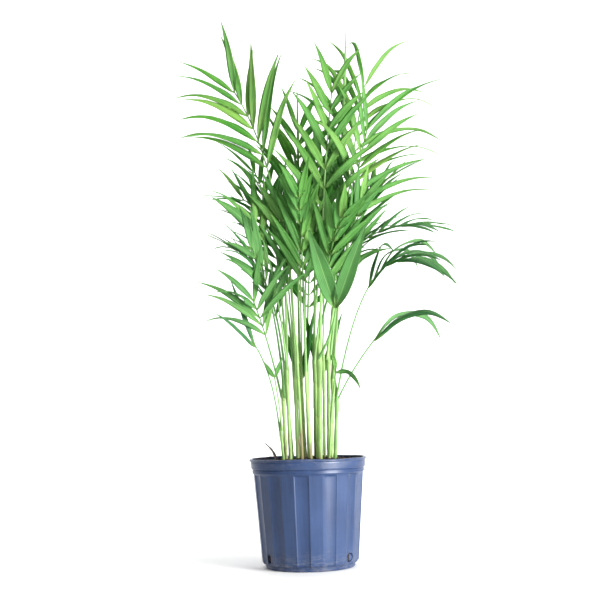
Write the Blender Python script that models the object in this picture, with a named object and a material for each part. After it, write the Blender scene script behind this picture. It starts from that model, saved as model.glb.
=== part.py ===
"""An areca palm growing in a fluted nursery pot, as separate solids.

The pot stands on the plane z = 0 with its axis on +Z, and every length is in metres.
Canes stand in sockets in the soil. Each cane carries the stalks of its fronds side by
side on its top. A frond is one solid: stalk, rachis and leaflets, extruded ring by ring.
"""

import math
import random

import bmesh
import bpy
from mathutils import Vector
from mathutils.bvhtree import BVHTree

# ---- driving dimensions ----------------------------------------------------------------
POT_HEIGHT = 0.233
LIP_RADIUS = 0.127
COLLAR_HEIGHT = 0.023
BAND_HEIGHT = 0.008
WALL_TOP_RADIUS = 0.1185
WALL_FOOT_RADIUS = 0.1040
FOOT_RADIUS = 0.0960
FLUTE_START = 0.014
WALL_THICKNESS = 0.002
FLOOR_TOP = 0.0055
FLUTE_PANELS = 24
FLUTE_DEPTH = 0.0022
PANEL_SEGMENTS = 3
PANEL_STRETCH = 1.2
PANEL_TOP_GAP = 0.003
DRAIN_RADIUS = 0.0095
DRAIN_HEIGHT = 0.0245
DRAIN_ANGLES = (-126.0, -57.0, 54.0, 123.0)
DRAIN_CUTTER_DEPTH = 0.04

SOIL_EDGE = 0.221
SOIL_CROWN = 0.230
SOIL_SEGMENTS = 24
SOIL_LUMP = 0.0012
CANE_DEPTH = 0.025
GAP = 0.0004

CANE_SIDES_RESOLUTION = 2
STALK_RING_COUNT = 6
RIB_SHARES = (0.32, 0.68)
LEAFLET_THICKNESS = 0.0009
LEAFLET_FOOT = 0.0045
CLEARANCE = 0.0008
LEAST_ANGLE = math.radians(14)
STALK_SPREAD = 0.0038
STALK_TAPER = 0.55
STALK_FLATNESS = 0.85
LEAFLET_STEPS = 25
HANG_POWER = 1.4
END_LENGTH = 0.72
END_WIDTH = 0.85

# ---- chance in each leaflet: shares of its length, width and droop, and degrees -----------
LENGTH_CHANCE = (0.86, 1.06)
WIDTH_CHANCE = (0.95, 1.05)
DROOP_CHANCE = (0.55, 1.45)
ANGLE_CHANCE = 6
LIFT_CHANCE = 14

# ---- what is tried, in turn, to find a clear place ----------------------------------------
BEND_SHIFTS = (0.008, 0.016, 0.026, 0.040, 0.056)
BEND_DIRECTIONS = 12
TURN_STEPS = (8, 16, 26, 38)
LENGTH_STEPS = (1.0, 0.8, 0.6)
DROOP_STEPS = (0.0, 0.3, -0.25)

# ---- colours: base colour, roughness ----------------------------------------------------
FINISHES = {
    "pot_plastic": ((0.045, 0.06, 0.11), 0.42),
    "soil": ((0.035, 0.022, 0.015), 0.95),
    "cane": ((0.38, 0.50, 0.12), 0.5),
    "frond": ((0.10, 0.33, 0.06), 0.45),
    "dry_sheath": ((0.06, 0.045, 0.03), 0.8),
}

# ---- the plant's layout -----------------------------------------------------------------
# name: foot x, foot y, top x, top y, top z, foot radius
CANES = {
    "cane_01": (-0.047, -0.010, -0.050, -0.012, 0.360, 0.0042),
    "cane_02": (-0.037, -0.034, -0.040, -0.036, 0.420, 0.0044),
    "cane_03": (-0.021, -0.012, -0.023, -0.014, 0.400, 0.0048),
    "cane_04": (-0.006, 0.022, -0.010, 0.030, 0.440, 0.0042),
    "cane_05": (0.006, -0.030, 0.001, -0.038, 0.410, 0.0046),
    "cane_06": (0.026, -0.036, 0.030, -0.040, 0.440, 0.0062),
    "cane_07": (0.046, -0.012, 0.050, -0.014, 0.440, 0.0048),
    "cane_08": (0.059, -0.018, 0.065, -0.022, 0.350, 0.0043),
    "cane_09": (0.052, 0.024, 0.060, 0.034, 0.400, 0.0044),
    "cane_10": (0.018, 0.030, 0.020, 0.040, 0.440, 0.0046),
    "cane_11": (-0.034, 0.022, -0.042, 0.032, 0.390, 0.0044),
    "cane_12": (0.022, -0.004, 0.022, -0.006, 0.430, 0.0050),
    "cane_13": (-0.012, -0.042, -0.017, -0.052, 0.450, 0.0036),
    "cane_14": (-0.019, 0.042, -0.024, 0.054, 0.460, 0.0036),
    "cane_15": (0.037, 0.012, 0.040, 0.014, 0.460, 0.0035),
    "cane_16": (0.002, -0.004, 0.001, -0.004, 0.470, 0.0034),
    "shoot_01": (-0.052, -0.034, -0.056, -0.037, 0.290, 0.0032),
    "shoot_02": (0.046, -0.044, 0.051, -0.049, 0.300, 0.0030),
    "shoot_03": (0.004, 0.052, 0.004, 0.062, 0.330, 0.0036),
    "shoot_04": (-0.004, 0.038, -0.006, 0.044, 0.290, 0.0032),
    "shoot_05": (0.030, 0.044, 0.032, 0.050, 0.310, 0.0032),
}

# A pinnate frond: the cane it grows from, its tip, the direction its upper side faces as a
# compass angle (0 towards -Y, 90 towards +X) and a tilt upwards, the length of its blade, its
# pairs of leaflets, their length and width, their angle to the rachis at its foot and end, the
# skew between its left and right sides, how far they lift and hang, and its stalk's bend.
FROND_DEFAULTS = dict(
    lean=0.12, rise=0.62, angle=40, end_angle=21, skew=0, lift=12, droop=0.55, tilt=0,
    stalk=0.0023, ribs=(1.0, 0.8),
)
FRONDS = {
    "frond_01": dict(cane="cane_02", tip=(-0.142, -0.040, 1.035), face=0, blade=0.19, pairs=7,
                     leaflet=0.225, width=0.015, lean=-0.2, rise=0.68, angle=34, end_angle=20,
                     skew=6, droop=0.7),
    "frond_02": dict(cane="cane_06", tip=(0.073, -0.065, 1.020), face=-5, blade=0.30,
                     pairs=8, leaflet=0.175, width=0.016, lean=0.2, rise=0.6, angle=36,
                     end_angle=24, droop=0.45),
    "frond_03": dict(cane="cane_07", tip=(0.150, -0.040, 0.945), face=10, blade=0.21,
                     pairs=8, leaflet=0.225, width=0.013, lean=0.35, rise=0.55, angle=40,
                     end_angle=24, skew=-8, droop=0.6),
    "frond_04": dict(cane="cane_09", tip=(0.150, 0.040, 1.062), face=170, blade=0.22, pairs=8,
                     leaflet=0.275, width=0.012, lean=0.4, angle=38, end_angle=22, skew=10,
                     droop=1.0),
    "frond_05": dict(cane="cane_03", tip=(-0.128, -0.035, 0.795), face=25, blade=0.21,
                     pairs=9, leaflet=0.165, width=0.012, rise=0.87, lean=0.1, skew=8,
                     tilt=20),
    "frond_06": dict(cane="cane_01", tip=(-0.112, -0.085, 0.680), face=40, blade=0.14,
                     pairs=6, leaflet=0.165, width=0.014, rise=0.75, lean=0.2, angle=32,
                     end_angle=18, stalk=0.0022),
    "frond_07": dict(cane="cane_01", tip=(-0.108, -0.066, 0.570), face=20, blade=0.085, pairs=5,
                     leaflet=0.190, width=0.013, rise=0.6, lean=0.45, angle=30, end_angle=22,
                     skew=4, droop=0.8, stalk=0.0020),
    "frond_08": dict(cane="cane_12", tip=(0.262, -0.045, 0.728), face=-50, tilt=50,
                     blade=0.20, pairs=9, leaflet=0.135, width=0.010, rise=1.06, lean=0.12,
                     droop=0.7, stalk=0.0022),
    "frond_09": dict(cane="cane_08", tip=(0.218, -0.080, 0.648), face=-50, tilt=50, blade=0.11,
                     pairs=6, leaflet=0.215, width=0.010, rise=1.02, lean=0.37, angle=34,
                     end_angle=14, droop=1.5, stalk=0.0017),
    "frond_10": dict(cane="cane_07", tip=(0.130, -0.080, 0.775), face=10, blade=0.19, pairs=7,
                     leaflet=0.150, width=0.014, lean=0.3, rise=0.6, angle=30, end_angle=16),
    "frond_11": dict(cane="cane_10", tip=(0.045, 0.035, 0.880), face=10, blade=0.22, pairs=7,
                     leaflet=0.180, width=0.019, angle=26, droop=0.2, end_angle=18),
    "frond_12": dict(cane="cane_03", tip=(-0.048, -0.075, 0.790), face=-10, blade=0.17, pairs=7,
                     leaflet=0.150, width=0.016, rise=0.7, angle=25, end_angle=17, droop=0.35),
    "frond_13": dict(cane="cane_11", tip=(-0.105, 0.080, 0.880), face=30, blade=0.22,
                     pairs=8, leaflet=0.165, width=0.013, rise=0.75, tilt=15),
    "frond_14": dict(cane="cane_09", tip=(0.185, 0.090, 0.850), face=-35, blade=0.24,
                     pairs=8, leaflet=0.170, width=0.013, rise=0.75, tilt=20),
    "frond_15": dict(cane="cane_04", tip=(0.000, 0.090, 0.975), face=5, blade=0.25,
                     pairs=8, leaflet=0.185, width=0.015, rise=0.7, angle=42),
    "frond_16": dict(cane="cane_05", tip=(-0.005, -0.130, 0.780), face=180, blade=0.19, pairs=7,
                     leaflet=0.150, width=0.017, rise=0.8, lean=0.15, angle=24, end_angle=17,
                     lift=8, droop=0.3),
    "frond_17": dict(cane="cane_11", tip=(-0.150, 0.090, 0.700), face=70, tilt=35,
                     blade=0.20, pairs=8, leaflet=0.160, width=0.013, rise=0.85),
    "frond_18": dict(cane="shoot_03", tip=(0.030, 0.210, 0.740), face=0, tilt=25, blade=0.22,
                     pairs=8, leaflet=0.170, width=0.015, rise=0.85),
    "frond_19": dict(cane="cane_12", tip=(0.085, -0.130, 0.735), face=190, blade=0.17, pairs=6,
                     leaflet=0.155, width=0.017, rise=0.8, lean=0.2, angle=24, end_angle=17,
                     lift=6, droop=0.3),
    "frond_20": dict(cane="cane_10", tip=(0.110, 0.160, 0.820), face=-20, tilt=20,
                     blade=0.22, pairs=8, leaflet=0.170, width=0.014, rise=0.8),
}
# A young leaf has one or two pairs of broad lobes at the end of its stalk.
LEAF_DEFAULTS = dict(
    lean=0.3, rise=0.5, angle=16, end_angle=16, skew=0, lift=0, droop=0.6, tilt=0,
    stalk=0.0013, foot=0.006, pairs=1, blade=0.02, ribs=(1.0, 0.8),
)
LEAVES = {
    "young_leaf_01": dict(cane="cane_06", tip=(0.067, -0.105, 0.555), face=0, blade=0.03,
                          leaflet=0.185, width=0.038, angle=14, end_angle=14, skew=5, droop=0.05,
                          foot=0.010, stalk=0.0022, ribs=(0.72, 1.0), lean=0.9, rise=0.5),
    "young_leaf_02": dict(cane="cane_02", tip=(-0.100, -0.075, 0.740), face=20, pairs=2,
                          blade=0.05, leaflet=0.150, width=0.022, angle=30, skew=3, stalk=0.0018,
                          rise=0.7, end_angle=24),
    "young_leaf_03": dict(cane="shoot_01", tip=(-0.107, -0.060, 0.475), face=60, leaflet=0.160,
                          width=0.017, skew=4, droop=0.6, lean=0.2, rise=0.65, angle=18,
                          end_angle=18),
    "young_leaf_04": dict(cane="shoot_01", tip=(-0.067, -0.070, 0.408), face=0,
                          leaflet=0.048, width=0.011, angle=26, droop=0.1, foot=0.004),
    "young_leaf_05": dict(cane="cane_08", tip=(0.152, -0.050, 0.483), face=-60, tilt=30,
                          leaflet=0.225, width=0.015, skew=0, droop=1.9, lean=0.36, angle=20,
                          end_angle=20),
    "young_leaf_06": dict(cane="shoot_02", tip=(0.064, -0.078, 0.414), face=-20, leaflet=0.085,
                          width=0.013, angle=24, end_angle=24, skew=-24, droop=2.6, foot=0.004),
    "young_leaf_07": dict(cane="shoot_04", tip=(-0.010, 0.052, 0.400), face=0, leaflet=0.170,
                          width=0.018, angle=12, end_angle=12, skew=4, droop=0.1, foot=0.004),
    "young_leaf_08": dict(cane="shoot_05", tip=(0.036, 0.060, 0.410), face=0, leaflet=0.165,
                          width=0.018, angle=14, end_angle=14, skew=4, droop=0.1, foot=0.004),
}
# A spear is a new leaf that is still folded shut: its cane, its tip, its lean and its size.
SPEARS = {
    "spear_01": ("cane_07", (0.111, -0.002, 1.202), 0.75, 1.0),
    "spear_02": ("cane_04", (-0.002, 0.030, 1.098), 0.5, 0.75),
    "spear_03": ("cane_13", (-0.036, -0.062, 0.790), 0.5, 0.70),
    "spear_04": ("cane_14", (-0.048, 0.080, 0.850), 0.5, 0.70),
    "spear_05": ("cane_15", (0.056, 0.022, 0.900), 0.5, 0.70),
    "spear_06": ("cane_16", (0.012, -0.006, 0.860), 0.5, 0.65),
}
SPEAR_SHARES = (0.0, 0.25, 0.5, 0.72, 0.86)
SPEAR_SIZES = (0.0021, 0.0022, 0.0026, 0.0036, 0.0028)


# ---- small helpers ------------------------------------------------------------------------
def clear_scene():
    for item in list(bpy.data.objects):
        bpy.data.objects.remove(item)


def make_collection(name):
    collection = bpy.data.collections.new(name)
    bpy.context.scene.collection.children.link(collection)
    return collection


def make_finishes():
    made = {}
    for name, (colour, roughness) in FINISHES.items():
        material = bpy.data.materials.new(name)
        material.use_nodes = True
        shader = material.node_tree.nodes["Principled BSDF"]
        shader.inputs["Base Color"].default_value = (*colour, 1.0)
        shader.inputs["Roughness"].default_value = roughness
        made[name] = material
    return made


def add_object(name, data, finish, collection):
    item = bpy.data.objects.new(name, data)
    item.data.materials.append(finish)
    collection.objects.link(item)
    return item


def as_cutter(item):
    item.hide_render = True
    item.display_type = "WIRE"


def polar(radius, degrees, z):
    turn = math.radians(degrees)
    return Vector((radius * math.cos(turn), radius * math.sin(turn), z))


def spin_profile(profile, steps, first_angle):
    """A closed solid from a profile of (radius, height) points that begins and ends on the axis."""
    bm = bmesh.new()
    turn = math.radians(first_angle)
    points = [(r * math.cos(turn), r * math.sin(turn), z) for r, z in profile]
    verts = [bm.verts.new(point) for point in points]
    edges = [bm.edges.new(pair) for pair in zip(verts, verts[1:])]
    bmesh.ops.spin(bm, geom=verts + edges, cent=(0, 0, 0), axis=(0, 0, 1),
                   angle=math.tau, steps=steps, use_merge=True)
    bmesh.ops.remove_doubles(bm, verts=bm.verts, dist=1e-6)
    bmesh.ops.recalc_face_normals(bm, faces=bm.faces)
    return bm


def mesh_of(bm, name):
    mesh = bpy.data.meshes.new(name)
    bm.to_mesh(mesh)
    bm.free()
    return mesh


# ---- pot ------------------------------------------------------------------------------------
def pot_profile():
    """The pot's section: underside, outer wall, band, collar and lip, then the inside."""
    band_foot = POT_HEIGHT - COLLAR_HEIGHT - BAND_HEIGHT
    collar_foot = POT_HEIGHT - COLLAR_HEIGHT
    inside_top = WALL_TOP_RADIUS - WALL_THICKNESS
    inside_foot = WALL_FOOT_RADIUS - WALL_THICKNESS
    return [
        (0.0, 0.0), (0.030, 0.0), (0.034, 0.003), (0.074, 0.003), (0.078, 0.0),
        (FOOT_RADIUS - 0.004, 0.0), (FOOT_RADIUS, 0.004),
        (WALL_FOOT_RADIUS, FLUTE_START), (WALL_TOP_RADIUS, band_foot - 0.004),
        (WALL_TOP_RADIUS + 0.002, band_foot), (WALL_TOP_RADIUS + 0.0025, collar_foot),
        (WALL_TOP_RADIUS + 0.0045, collar_foot + 0.001),
        (WALL_TOP_RADIUS + 0.0055, POT_HEIGHT - 0.005),
        (LIP_RADIUS, POT_HEIGHT - 0.004), (LIP_RADIUS, POT_HEIGHT - 0.001),
        (LIP_RADIUS - 0.0015, POT_HEIGHT), (LIP_RADIUS - 0.005, POT_HEIGHT),
        (WALL_TOP_RADIUS + 0.0030, POT_HEIGHT - 0.004),
        (WALL_TOP_RADIUS + 0.0010, collar_foot),
        (inside_top, band_foot - 0.004), (inside_foot, FLUTE_START),
        (FOOT_RADIUS - 0.004, FLOOR_TOP), (0.0, FLOOR_TOP),
    ]


def flute_wall(bm):
    """Sets every other panel of the wall back, inside and out, with a steep step between them."""
    pitch = math.tau / FLUTE_PANELS
    top = POT_HEIGHT - COLLAR_HEIGHT - BAND_HEIGHT - PANEL_TOP_GAP
    for vert in bm.verts:
        radius = math.hypot(vert.co.x, vert.co.y)
        if radius < FOOT_RADIUS - 0.01:
            continue
        angle = math.atan2(vert.co.y, vert.co.x)
        panel = math.floor(angle / pitch)
        middle = (panel + 0.5) * pitch
        angle = middle + (angle - middle) * PANEL_STRETCH
        if panel % 2 and FLUTE_START - 0.001 < vert.co.z < top and radius > WALL_FOOT_RADIUS - 0.003:
            radius -= FLUTE_DEPTH
        vert.co.x = radius * math.cos(angle)
        vert.co.y = radius * math.sin(angle)


def make_drain_cutter(name, degrees, collection):
    bpy.ops.mesh.primitive_cylinder_add(vertices=16, radius=DRAIN_RADIUS,
                                        depth=DRAIN_CUTTER_DEPTH)
    cutter = bpy.context.object
    cutter.name = name
    cutter.location = polar(WALL_FOOT_RADIUS - 0.002, degrees - 90, DRAIN_HEIGHT)
    cutter.rotation_euler = (math.pi / 2, 0.0, math.radians(degrees))
    for owner in list(cutter.users_collection):
        owner.objects.unlink(cutter)
    collection.objects.link(cutter)
    as_cutter(cutter)
    return cutter


def cut(item, cutter):
    modifier = item.modifiers.new(cutter.name, "BOOLEAN")
    modifier.operation = "DIFFERENCE"
    modifier.solver = "EXACT"
    modifier.object = cutter


def make_pot(parts, cutters, finishes):
    steps = FLUTE_PANELS * PANEL_SEGMENTS
    half_step = 180.0 / steps
    bm = spin_profile(pot_profile(), steps, half_step)
    flute_wall(bm)
    pot = add_object("pot", mesh_of(bm, "pot"), finishes["pot_plastic"], parts)
    for number, degrees in enumerate(DRAIN_ANGLES, 1):
        cut(pot, make_drain_cutter(f"drain_cutter_{number}", degrees, cutters))
    return pot


# ---- soil -----------------------------------------------------------------------------------
def soil_height(x, y):
    """The soil's surface: a low crown round the canes with small lumps."""
    edge = WALL_TOP_RADIUS - WALL_THICKNESS - FLUTE_DEPTH
    share = min(1.0, math.hypot(x, y) / edge)
    crown = SOIL_EDGE + (SOIL_CROWN - SOIL_EDGE) * (1 - share**2)
    return crown + SOIL_LUMP * math.sin(70 * x + 1.0) * math.cos(85 * y)


def make_soil(parts, cutters, finishes):
    inset = WALL_THICKNESS + FLUTE_DEPTH + 3 * GAP
    top = WALL_TOP_RADIUS - inset
    foot = WALL_FOOT_RADIUS - inset
    profile = [(0.0, FLOOR_TOP + GAP), (FOOT_RADIUS - 0.008, FLOOR_TOP + GAP),
               (foot, FLUTE_START + 0.003), (top, POT_HEIGHT - 0.040), (top, SOIL_EDGE)]
    profile += [(top * share, SOIL_EDGE) for share in (0.85, 0.68, 0.5, 0.3, 0.12, 0.0)]
    bm = spin_profile(profile, SOIL_SEGMENTS, 0.0)
    for vert in bm.verts:
        if vert.co.z > SOIL_EDGE - 0.001:
            vert.co.z = soil_height(vert.co.x, vert.co.y)
    soil = add_object("soil", mesh_of(bm, "soil"), finishes["soil"], parts)
    for name, (x, y, _, _, _, radius) in CANES.items():
        bpy.ops.mesh.primitive_cylinder_add(vertices=10, radius=(radius + GAP) / 0.95,
                                            depth=0.1)
        cutter = bpy.context.object
        cutter.name = f"socket_cutter_{name}"
        cutter.location = (x, y, soil_height(x, y) - CANE_DEPTH - GAP + 0.05)
        for owner in list(cutter.users_collection):
            owner.objects.unlink(cutter)
        cutters.objects.link(cutter)
        as_cutter(cutter)
        cut(soil, cutter)
    return soil


# ---- canes ----------------------------------------------------------------------------------
def make_cane(name, parts, finishes):
    """A tapering tube: upright in its socket, leaning above it, upright again at its top."""
    x, y, top_x, top_y, top_z, radius = CANES[name]
    ground = soil_height(x, y)
    foot = Vector((x, y, ground))
    top = Vector((top_x, top_y, top_z))
    points = [(foot - Vector((0, 0, CANE_DEPTH)), 1.0), (foot + Vector((0, 0, 0.004)), 1.0)]
    for share, size in ((0.3, 0.93), (0.6, 0.88), (0.92, 0.84)):
        points.append((foot.lerp(top, share), size))
    points.append((Vector((top_x, top_y, top_z)), 0.82))
    points[-2][0].xy = top.xy
    curve = bpy.data.curves.new(name, "CURVE")
    curve.dimensions = "3D"
    curve.bevel_depth = radius
    curve.bevel_resolution = CANE_SIDES_RESOLUTION
    curve.use_fill_caps = True
    spline = curve.splines.new("POLY")
    spline.points.add(len(points) - 1)
    for point, (place, size) in zip(spline.points, points):
        point.co = (*place, 1.0)
        point.radius = size
    return add_object(name, curve, finishes["cane"], parts)


# ---- leaves ---------------------------------------------------------------------------------
class Rib:
    """One rectangular section: its centre, half its width and half its thickness as vectors."""

    def __init__(self, centre, wide, thin):
        self.centre = centre
        self.wide = wide
        self.thin = thin

    def corners(self, grow=0.0):
        wide = self.wide + self.wide.normalized() * grow
        thin = self.thin + self.thin.normalized() * grow
        signs = ((-1, -1), (1, -1), (1, 1), (-1, 1))
        return [self.centre + a * wide + b * thin for a, b in signs]


class Path:
    """A quadratic Bezier from start through a bend to end, measured by its length."""

    def __init__(self, start, bend, end):
        self.points = (start, bend, end)
        steps = 80
        places = [self.place(i / steps) for i in range(steps + 1)]
        self.marks = [0.0]
        for a, b in zip(places, places[1:]):
            self.marks.append(self.marks[-1] + (b - a).length)
        self.length = self.marks[-1]

    def place(self, t):
        start, bend, end = self.points
        return (1 - t) ** 2 * start + 2 * t * (1 - t) * bend + t * t * end

    def heading(self, t):
        start, bend, end = self.points
        return ((1 - t) * (bend - start) + t * (end - bend)).normalized()

    def parameter(self, distance):
        steps = len(self.marks) - 1
        for i in range(steps):
            if distance <= self.marks[i + 1]:
                span = self.marks[i + 1] - self.marks[i]
                return (i + (distance - self.marks[i]) / span) / steps
        return 1.0

    def frame(self, distance, face):
        """Centre, heading, side and upper direction at a distance along the path."""
        t = self.parameter(distance)
        heading = self.heading(t)
        side = face.cross(heading).normalized()
        return self.place(t), heading, side, heading.cross(side)


def box_of(corners):
    low = [min(c[i] for c in corners) for i in range(3)]
    high = [max(c[i] for c in corners) for i in range(3)]
    return low, high


class Crowd:
    """What has been placed so far, so that nothing new grows through it."""

    def __init__(self):
        self.entries = []

    def add(self, owner, corners, faces):
        tree = BVHTree.FromPolygons(corners, faces)
        self.entries.append((owner, box_of(corners), tree))

    def touches(self, corners, faces, ignore=None, only=None):
        low, high = box_of(corners)
        tree = None
        for owner, (other_low, other_high), other in self.entries:
            if owner == ignore or (only and owner != only):
                continue
            if any(low[i] > other_high[i] or high[i] < other_low[i] for i in range(3)):
                continue
            tree = tree or BVHTree.FromPolygons(corners, faces)
            if tree.overlap(other):
                return True
        return False


class Foot:
    """Where a leaflet joins its stalk: four corners of the stalk's side, in Rib order."""

    def __init__(self, stalk, index, sign):
        near, far = stalk[index - 1].corners(), stalk[index].corners()
        low, high = (1, 2) if sign > 0 else (0, 3)
        self.indices = (4 * index - 4 + low, 4 * index + low, 4 * index + high,
                        4 * index - 4 + high)
        self.places = [near[low], far[low], far[high], near[high]]
        self.centre = sum(self.places, Vector()) / 4

    def corners(self, grow=0.0):
        return list(self.places)


def band(first, second):
    """Triangles between two rings of four corners, given by their indices.

    Opposite sides are split along the same diagonal, so they stay apart where the rings twist.
    """
    faces = []
    for j in range(4):
        k = (j + 1) % 4
        if j < 2:
            faces += [(first[j], first[k], second[k]), (first[j], second[k], second[j])]
        else:
            faces += [(first[j], first[k], second[j]), (first[k], second[k], second[j])]
    return faces


def strip_of(ribs, tip=None, grow=0.0):
    """Corners and triangles of the tube through these ribs, closed at a tip if there is one."""
    corners = [corner for rib in ribs for corner in rib.corners(grow)]
    faces = []
    for i in range(0, 4 * len(ribs) - 4, 4):
        faces += band(range(i, i + 4), range(i + 4, i + 8))
    last = len(corners) - 4
    if tip is not None:
        corners.append(tip)
        faces += [(last + j, last + (j + 1) % 4, last + 4) for j in range(4)]
    return corners, faces


def leaflet_ribs(root, heading, sign, side, up, length, widths, angle, lift, droop):
    """Ribs and tip of a leaflet that leaves root sideways, rises by lift and then hangs."""
    out = math.cos(lift) * sign * side + math.sin(lift) * up
    start = math.cos(angle) * heading + math.sin(angle) * out
    place = root.copy()
    ribs = []
    for i in range(1, LEAFLET_STEPS + 1):
        share = (i - 0.5) / LEAFLET_STEPS
        way = (start + Vector((0, 0, -droop * share**HANG_POWER))).normalized()
        place = place + way * (length / LEAFLET_STEPS)
        for rib_share, width in zip(RIB_SHARES, widths):
            if i == round(rib_share * LEAFLET_STEPS):
                wide = (heading - heading.dot(way) * way).normalized()
                thin = sign * wide.cross(way)
                ribs.append(Rib(place.copy(), wide * width / 2,
                                thin * LEAFLET_THICKNESS / 2))
    return ribs, place


def stalk_rings(path, face, spec, size):
    """Distances and ribs of the stalk's rings. Two rings bound the foot of each pair."""
    foot = spec.get("foot", LEAFLET_FOOT)
    first = path.length - spec["blade"]
    pairs = spec["pairs"]
    spacing = (spec["blade"] - 2 * foot) / max(1, pairs - 1)
    roots = [first + foot + spacing * i for i in range(pairs)]
    if pairs == 1:
        roots = [path.length - foot]
    distances = [first * i / STALK_RING_COUNT for i in range(STALK_RING_COUNT)]
    distances += [d for root in roots for d in (root - foot, root + foot)]
    ribs = []
    for distance in distances:
        centre, heading, side, up = path.frame(distance, face)
        share = distance / path.length
        half = size * (1 - STALK_TAPER * share**1.5)
        if distance == 0:
            side = Vector((side.x, side.y, 0)).normalized()
            up = Vector((0, 0, 1)).cross(side)
        ribs.append(Rib(centre, side * half, up * half * STALK_FLATNESS))
    return roots, ribs


def compass(degrees, tilt=0):
    turn, rise = math.radians(degrees), math.radians(tilt)
    flat = math.cos(rise)
    return Vector((flat * math.sin(turn), -flat * math.cos(turn), math.sin(rise)))


def facing(spec):
    return compass(spec["face"], spec["tilt"])


def bend_tries():
    """Sideways shifts of a stalk's bend, smallest first."""
    yield Vector((0, 0, 0))
    for shift in BEND_SHIFTS:
        for step in range(BEND_DIRECTIONS):
            yield shift * compass(360 * step / BEND_DIRECTIONS)


def place_stalk(name, spec, base, crowd):
    """The path, root distances and ribs of a stalk that is clear of its neighbours."""
    tip = Vector(spec["tip"])
    face = facing(spec)
    rise = base.z + spec["rise"] * (tip.z - base.z)
    bend = Vector((*base.xy.lerp(tip.xy, spec["lean"]), rise))
    for shift in bend_tries():
        path = Path(base, bend + shift, tip)
        roots, ribs = stalk_rings(path, face, spec, spec["stalk"])
        corners, faces = strip_of(ribs, grow=CLEARANCE / 2)
        if not crowd.touches(corners, faces, ignore=spec["cane"]):
            crowd.add(name, *strip_of(ribs))
            return path, roots, ribs
    raise RuntimeError(f"{name}: its stalk has no clear way")


def leaflet_tries():
    """Small changes of angle, lift and droop, in growing steps, then shorter leaflets."""
    turns = [(0, 0)]
    for reach in TURN_STEPS:
        turns += [(0, reach), (0, -reach), (-reach, 0), (reach, 0), (-reach, reach),
                  (reach, reach), (-reach, -reach), (reach, -reach)]
    for length in LENGTH_STEPS:
        for turn, lift in turns:
            for droop in DROOP_STEPS:
                yield length, math.radians(turn), math.radians(lift), droop


def place_leaflet(name, path, root, sign, share, spec, foot, crowd, rng):
    """The ribs and tip of one leaflet, or None where there is no room for it."""
    _, heading, side, up = path.frame(root, facing(spec))
    skew = sign * spec["skew"] * (1 - share)
    length = spec["leaflet"] * rng.uniform(*LENGTH_CHANCE)
    if spec["pairs"] > 2:
        length *= END_LENGTH + (1 - END_LENGTH) * math.sin(math.pi * min(1.0, share + 0.25))
    width = spec["width"] * rng.uniform(*WIDTH_CHANCE)
    width *= END_WIDTH + (1 - END_WIDTH) * math.sin(math.pi * share)
    angle = math.radians(spec["angle"] + (spec["end_angle"] - spec["angle"]) * share**1.3
                         + skew + rng.uniform(-ANGLE_CHANCE, ANGLE_CHANCE))
    lift = math.radians(spec["lift"] + rng.uniform(-LIFT_CHANCE, LIFT_CHANCE))
    droop = spec["droop"] * rng.uniform(*DROOP_CHANCE)
    widths = [width * size for size in spec["ribs"]]
    for size, turn, raised, hang in leaflet_tries():
        ribs, tip = leaflet_ribs(foot.centre, heading, sign, side, up, length * size,
                                 widths, max(angle + turn, LEAST_ANGLE), lift + raised,
                                 max(0.0, droop + hang))
        corners, faces = strip_of([foot, *ribs], tip, grow=CLEARANCE)
        if crowd.touches(corners, faces, ignore=name):
            continue
        if not crowd.touches(*strip_of(ribs, tip, grow=CLEARANCE), only=name):
            crowd.add(f"{name}_leaflet", *strip_of([foot, *ribs], tip))
            return ribs, tip
    return None


class Loft:
    """A closed mesh grown ring by ring, in rings of four corners."""

    def __init__(self, ribs):
        self.verts, self.faces = strip_of(ribs)
        self.close((3, 2, 1, 0))

    def close(self, corners):
        a, b, c, d = corners
        self.faces += [(a, b, c), (a, c, d)]

    def end(self):
        last = len(self.verts) - 4
        self.close(range(last, last + 4))

    def branch(self, foot, ribs, tip, sign):
        """Grows a leaflet out of the stalk's side between the four corners of its foot."""
        a, b, c, d = foot.indices
        ring = (a, b, c, d)
        for face in [f for f in self.faces if set(f) <= set(ring)]:
            self.faces.remove(face)
        faces = []
        for rib in ribs:
            start = len(self.verts)
            self.verts += rib.corners()
            faces += band(ring, range(start, start + 4))
            ring = range(start, start + 4)
        self.verts.append(tip)
        faces += [(ring[j], ring[(j + 1) % 4], len(self.verts) - 1) for j in range(4)]
        self.faces += [face[::-1] for face in faces] if sign > 0 else faces

    def mesh(self, name):
        mesh = bpy.data.meshes.new(name)
        mesh.from_pydata(self.verts, [], self.faces)
        return mesh


def grow_leaf(name, spec, path, roots, ribs, crowd, rng):
    """The mesh of a frond or young leaf: a stalk with pairs of leaflets from its sides."""
    loft = Loft(ribs)
    loft.end()
    missing = 0
    for number, root in enumerate(roots):
        share = number / max(1, len(roots) - 1)
        for sign in (-1, 1):
            foot = Foot(ribs, STALK_RING_COUNT + 2 * number + 1, sign)
            placed = place_leaflet(name, path, root, sign, share, spec, foot, crowd, rng)
            if placed:
                loft.branch(foot, *placed, sign)
            else:
                missing += 1
    if missing:
        print(f"{name}: no room for {missing} leaflets")
    return loft.mesh(name)


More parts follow.
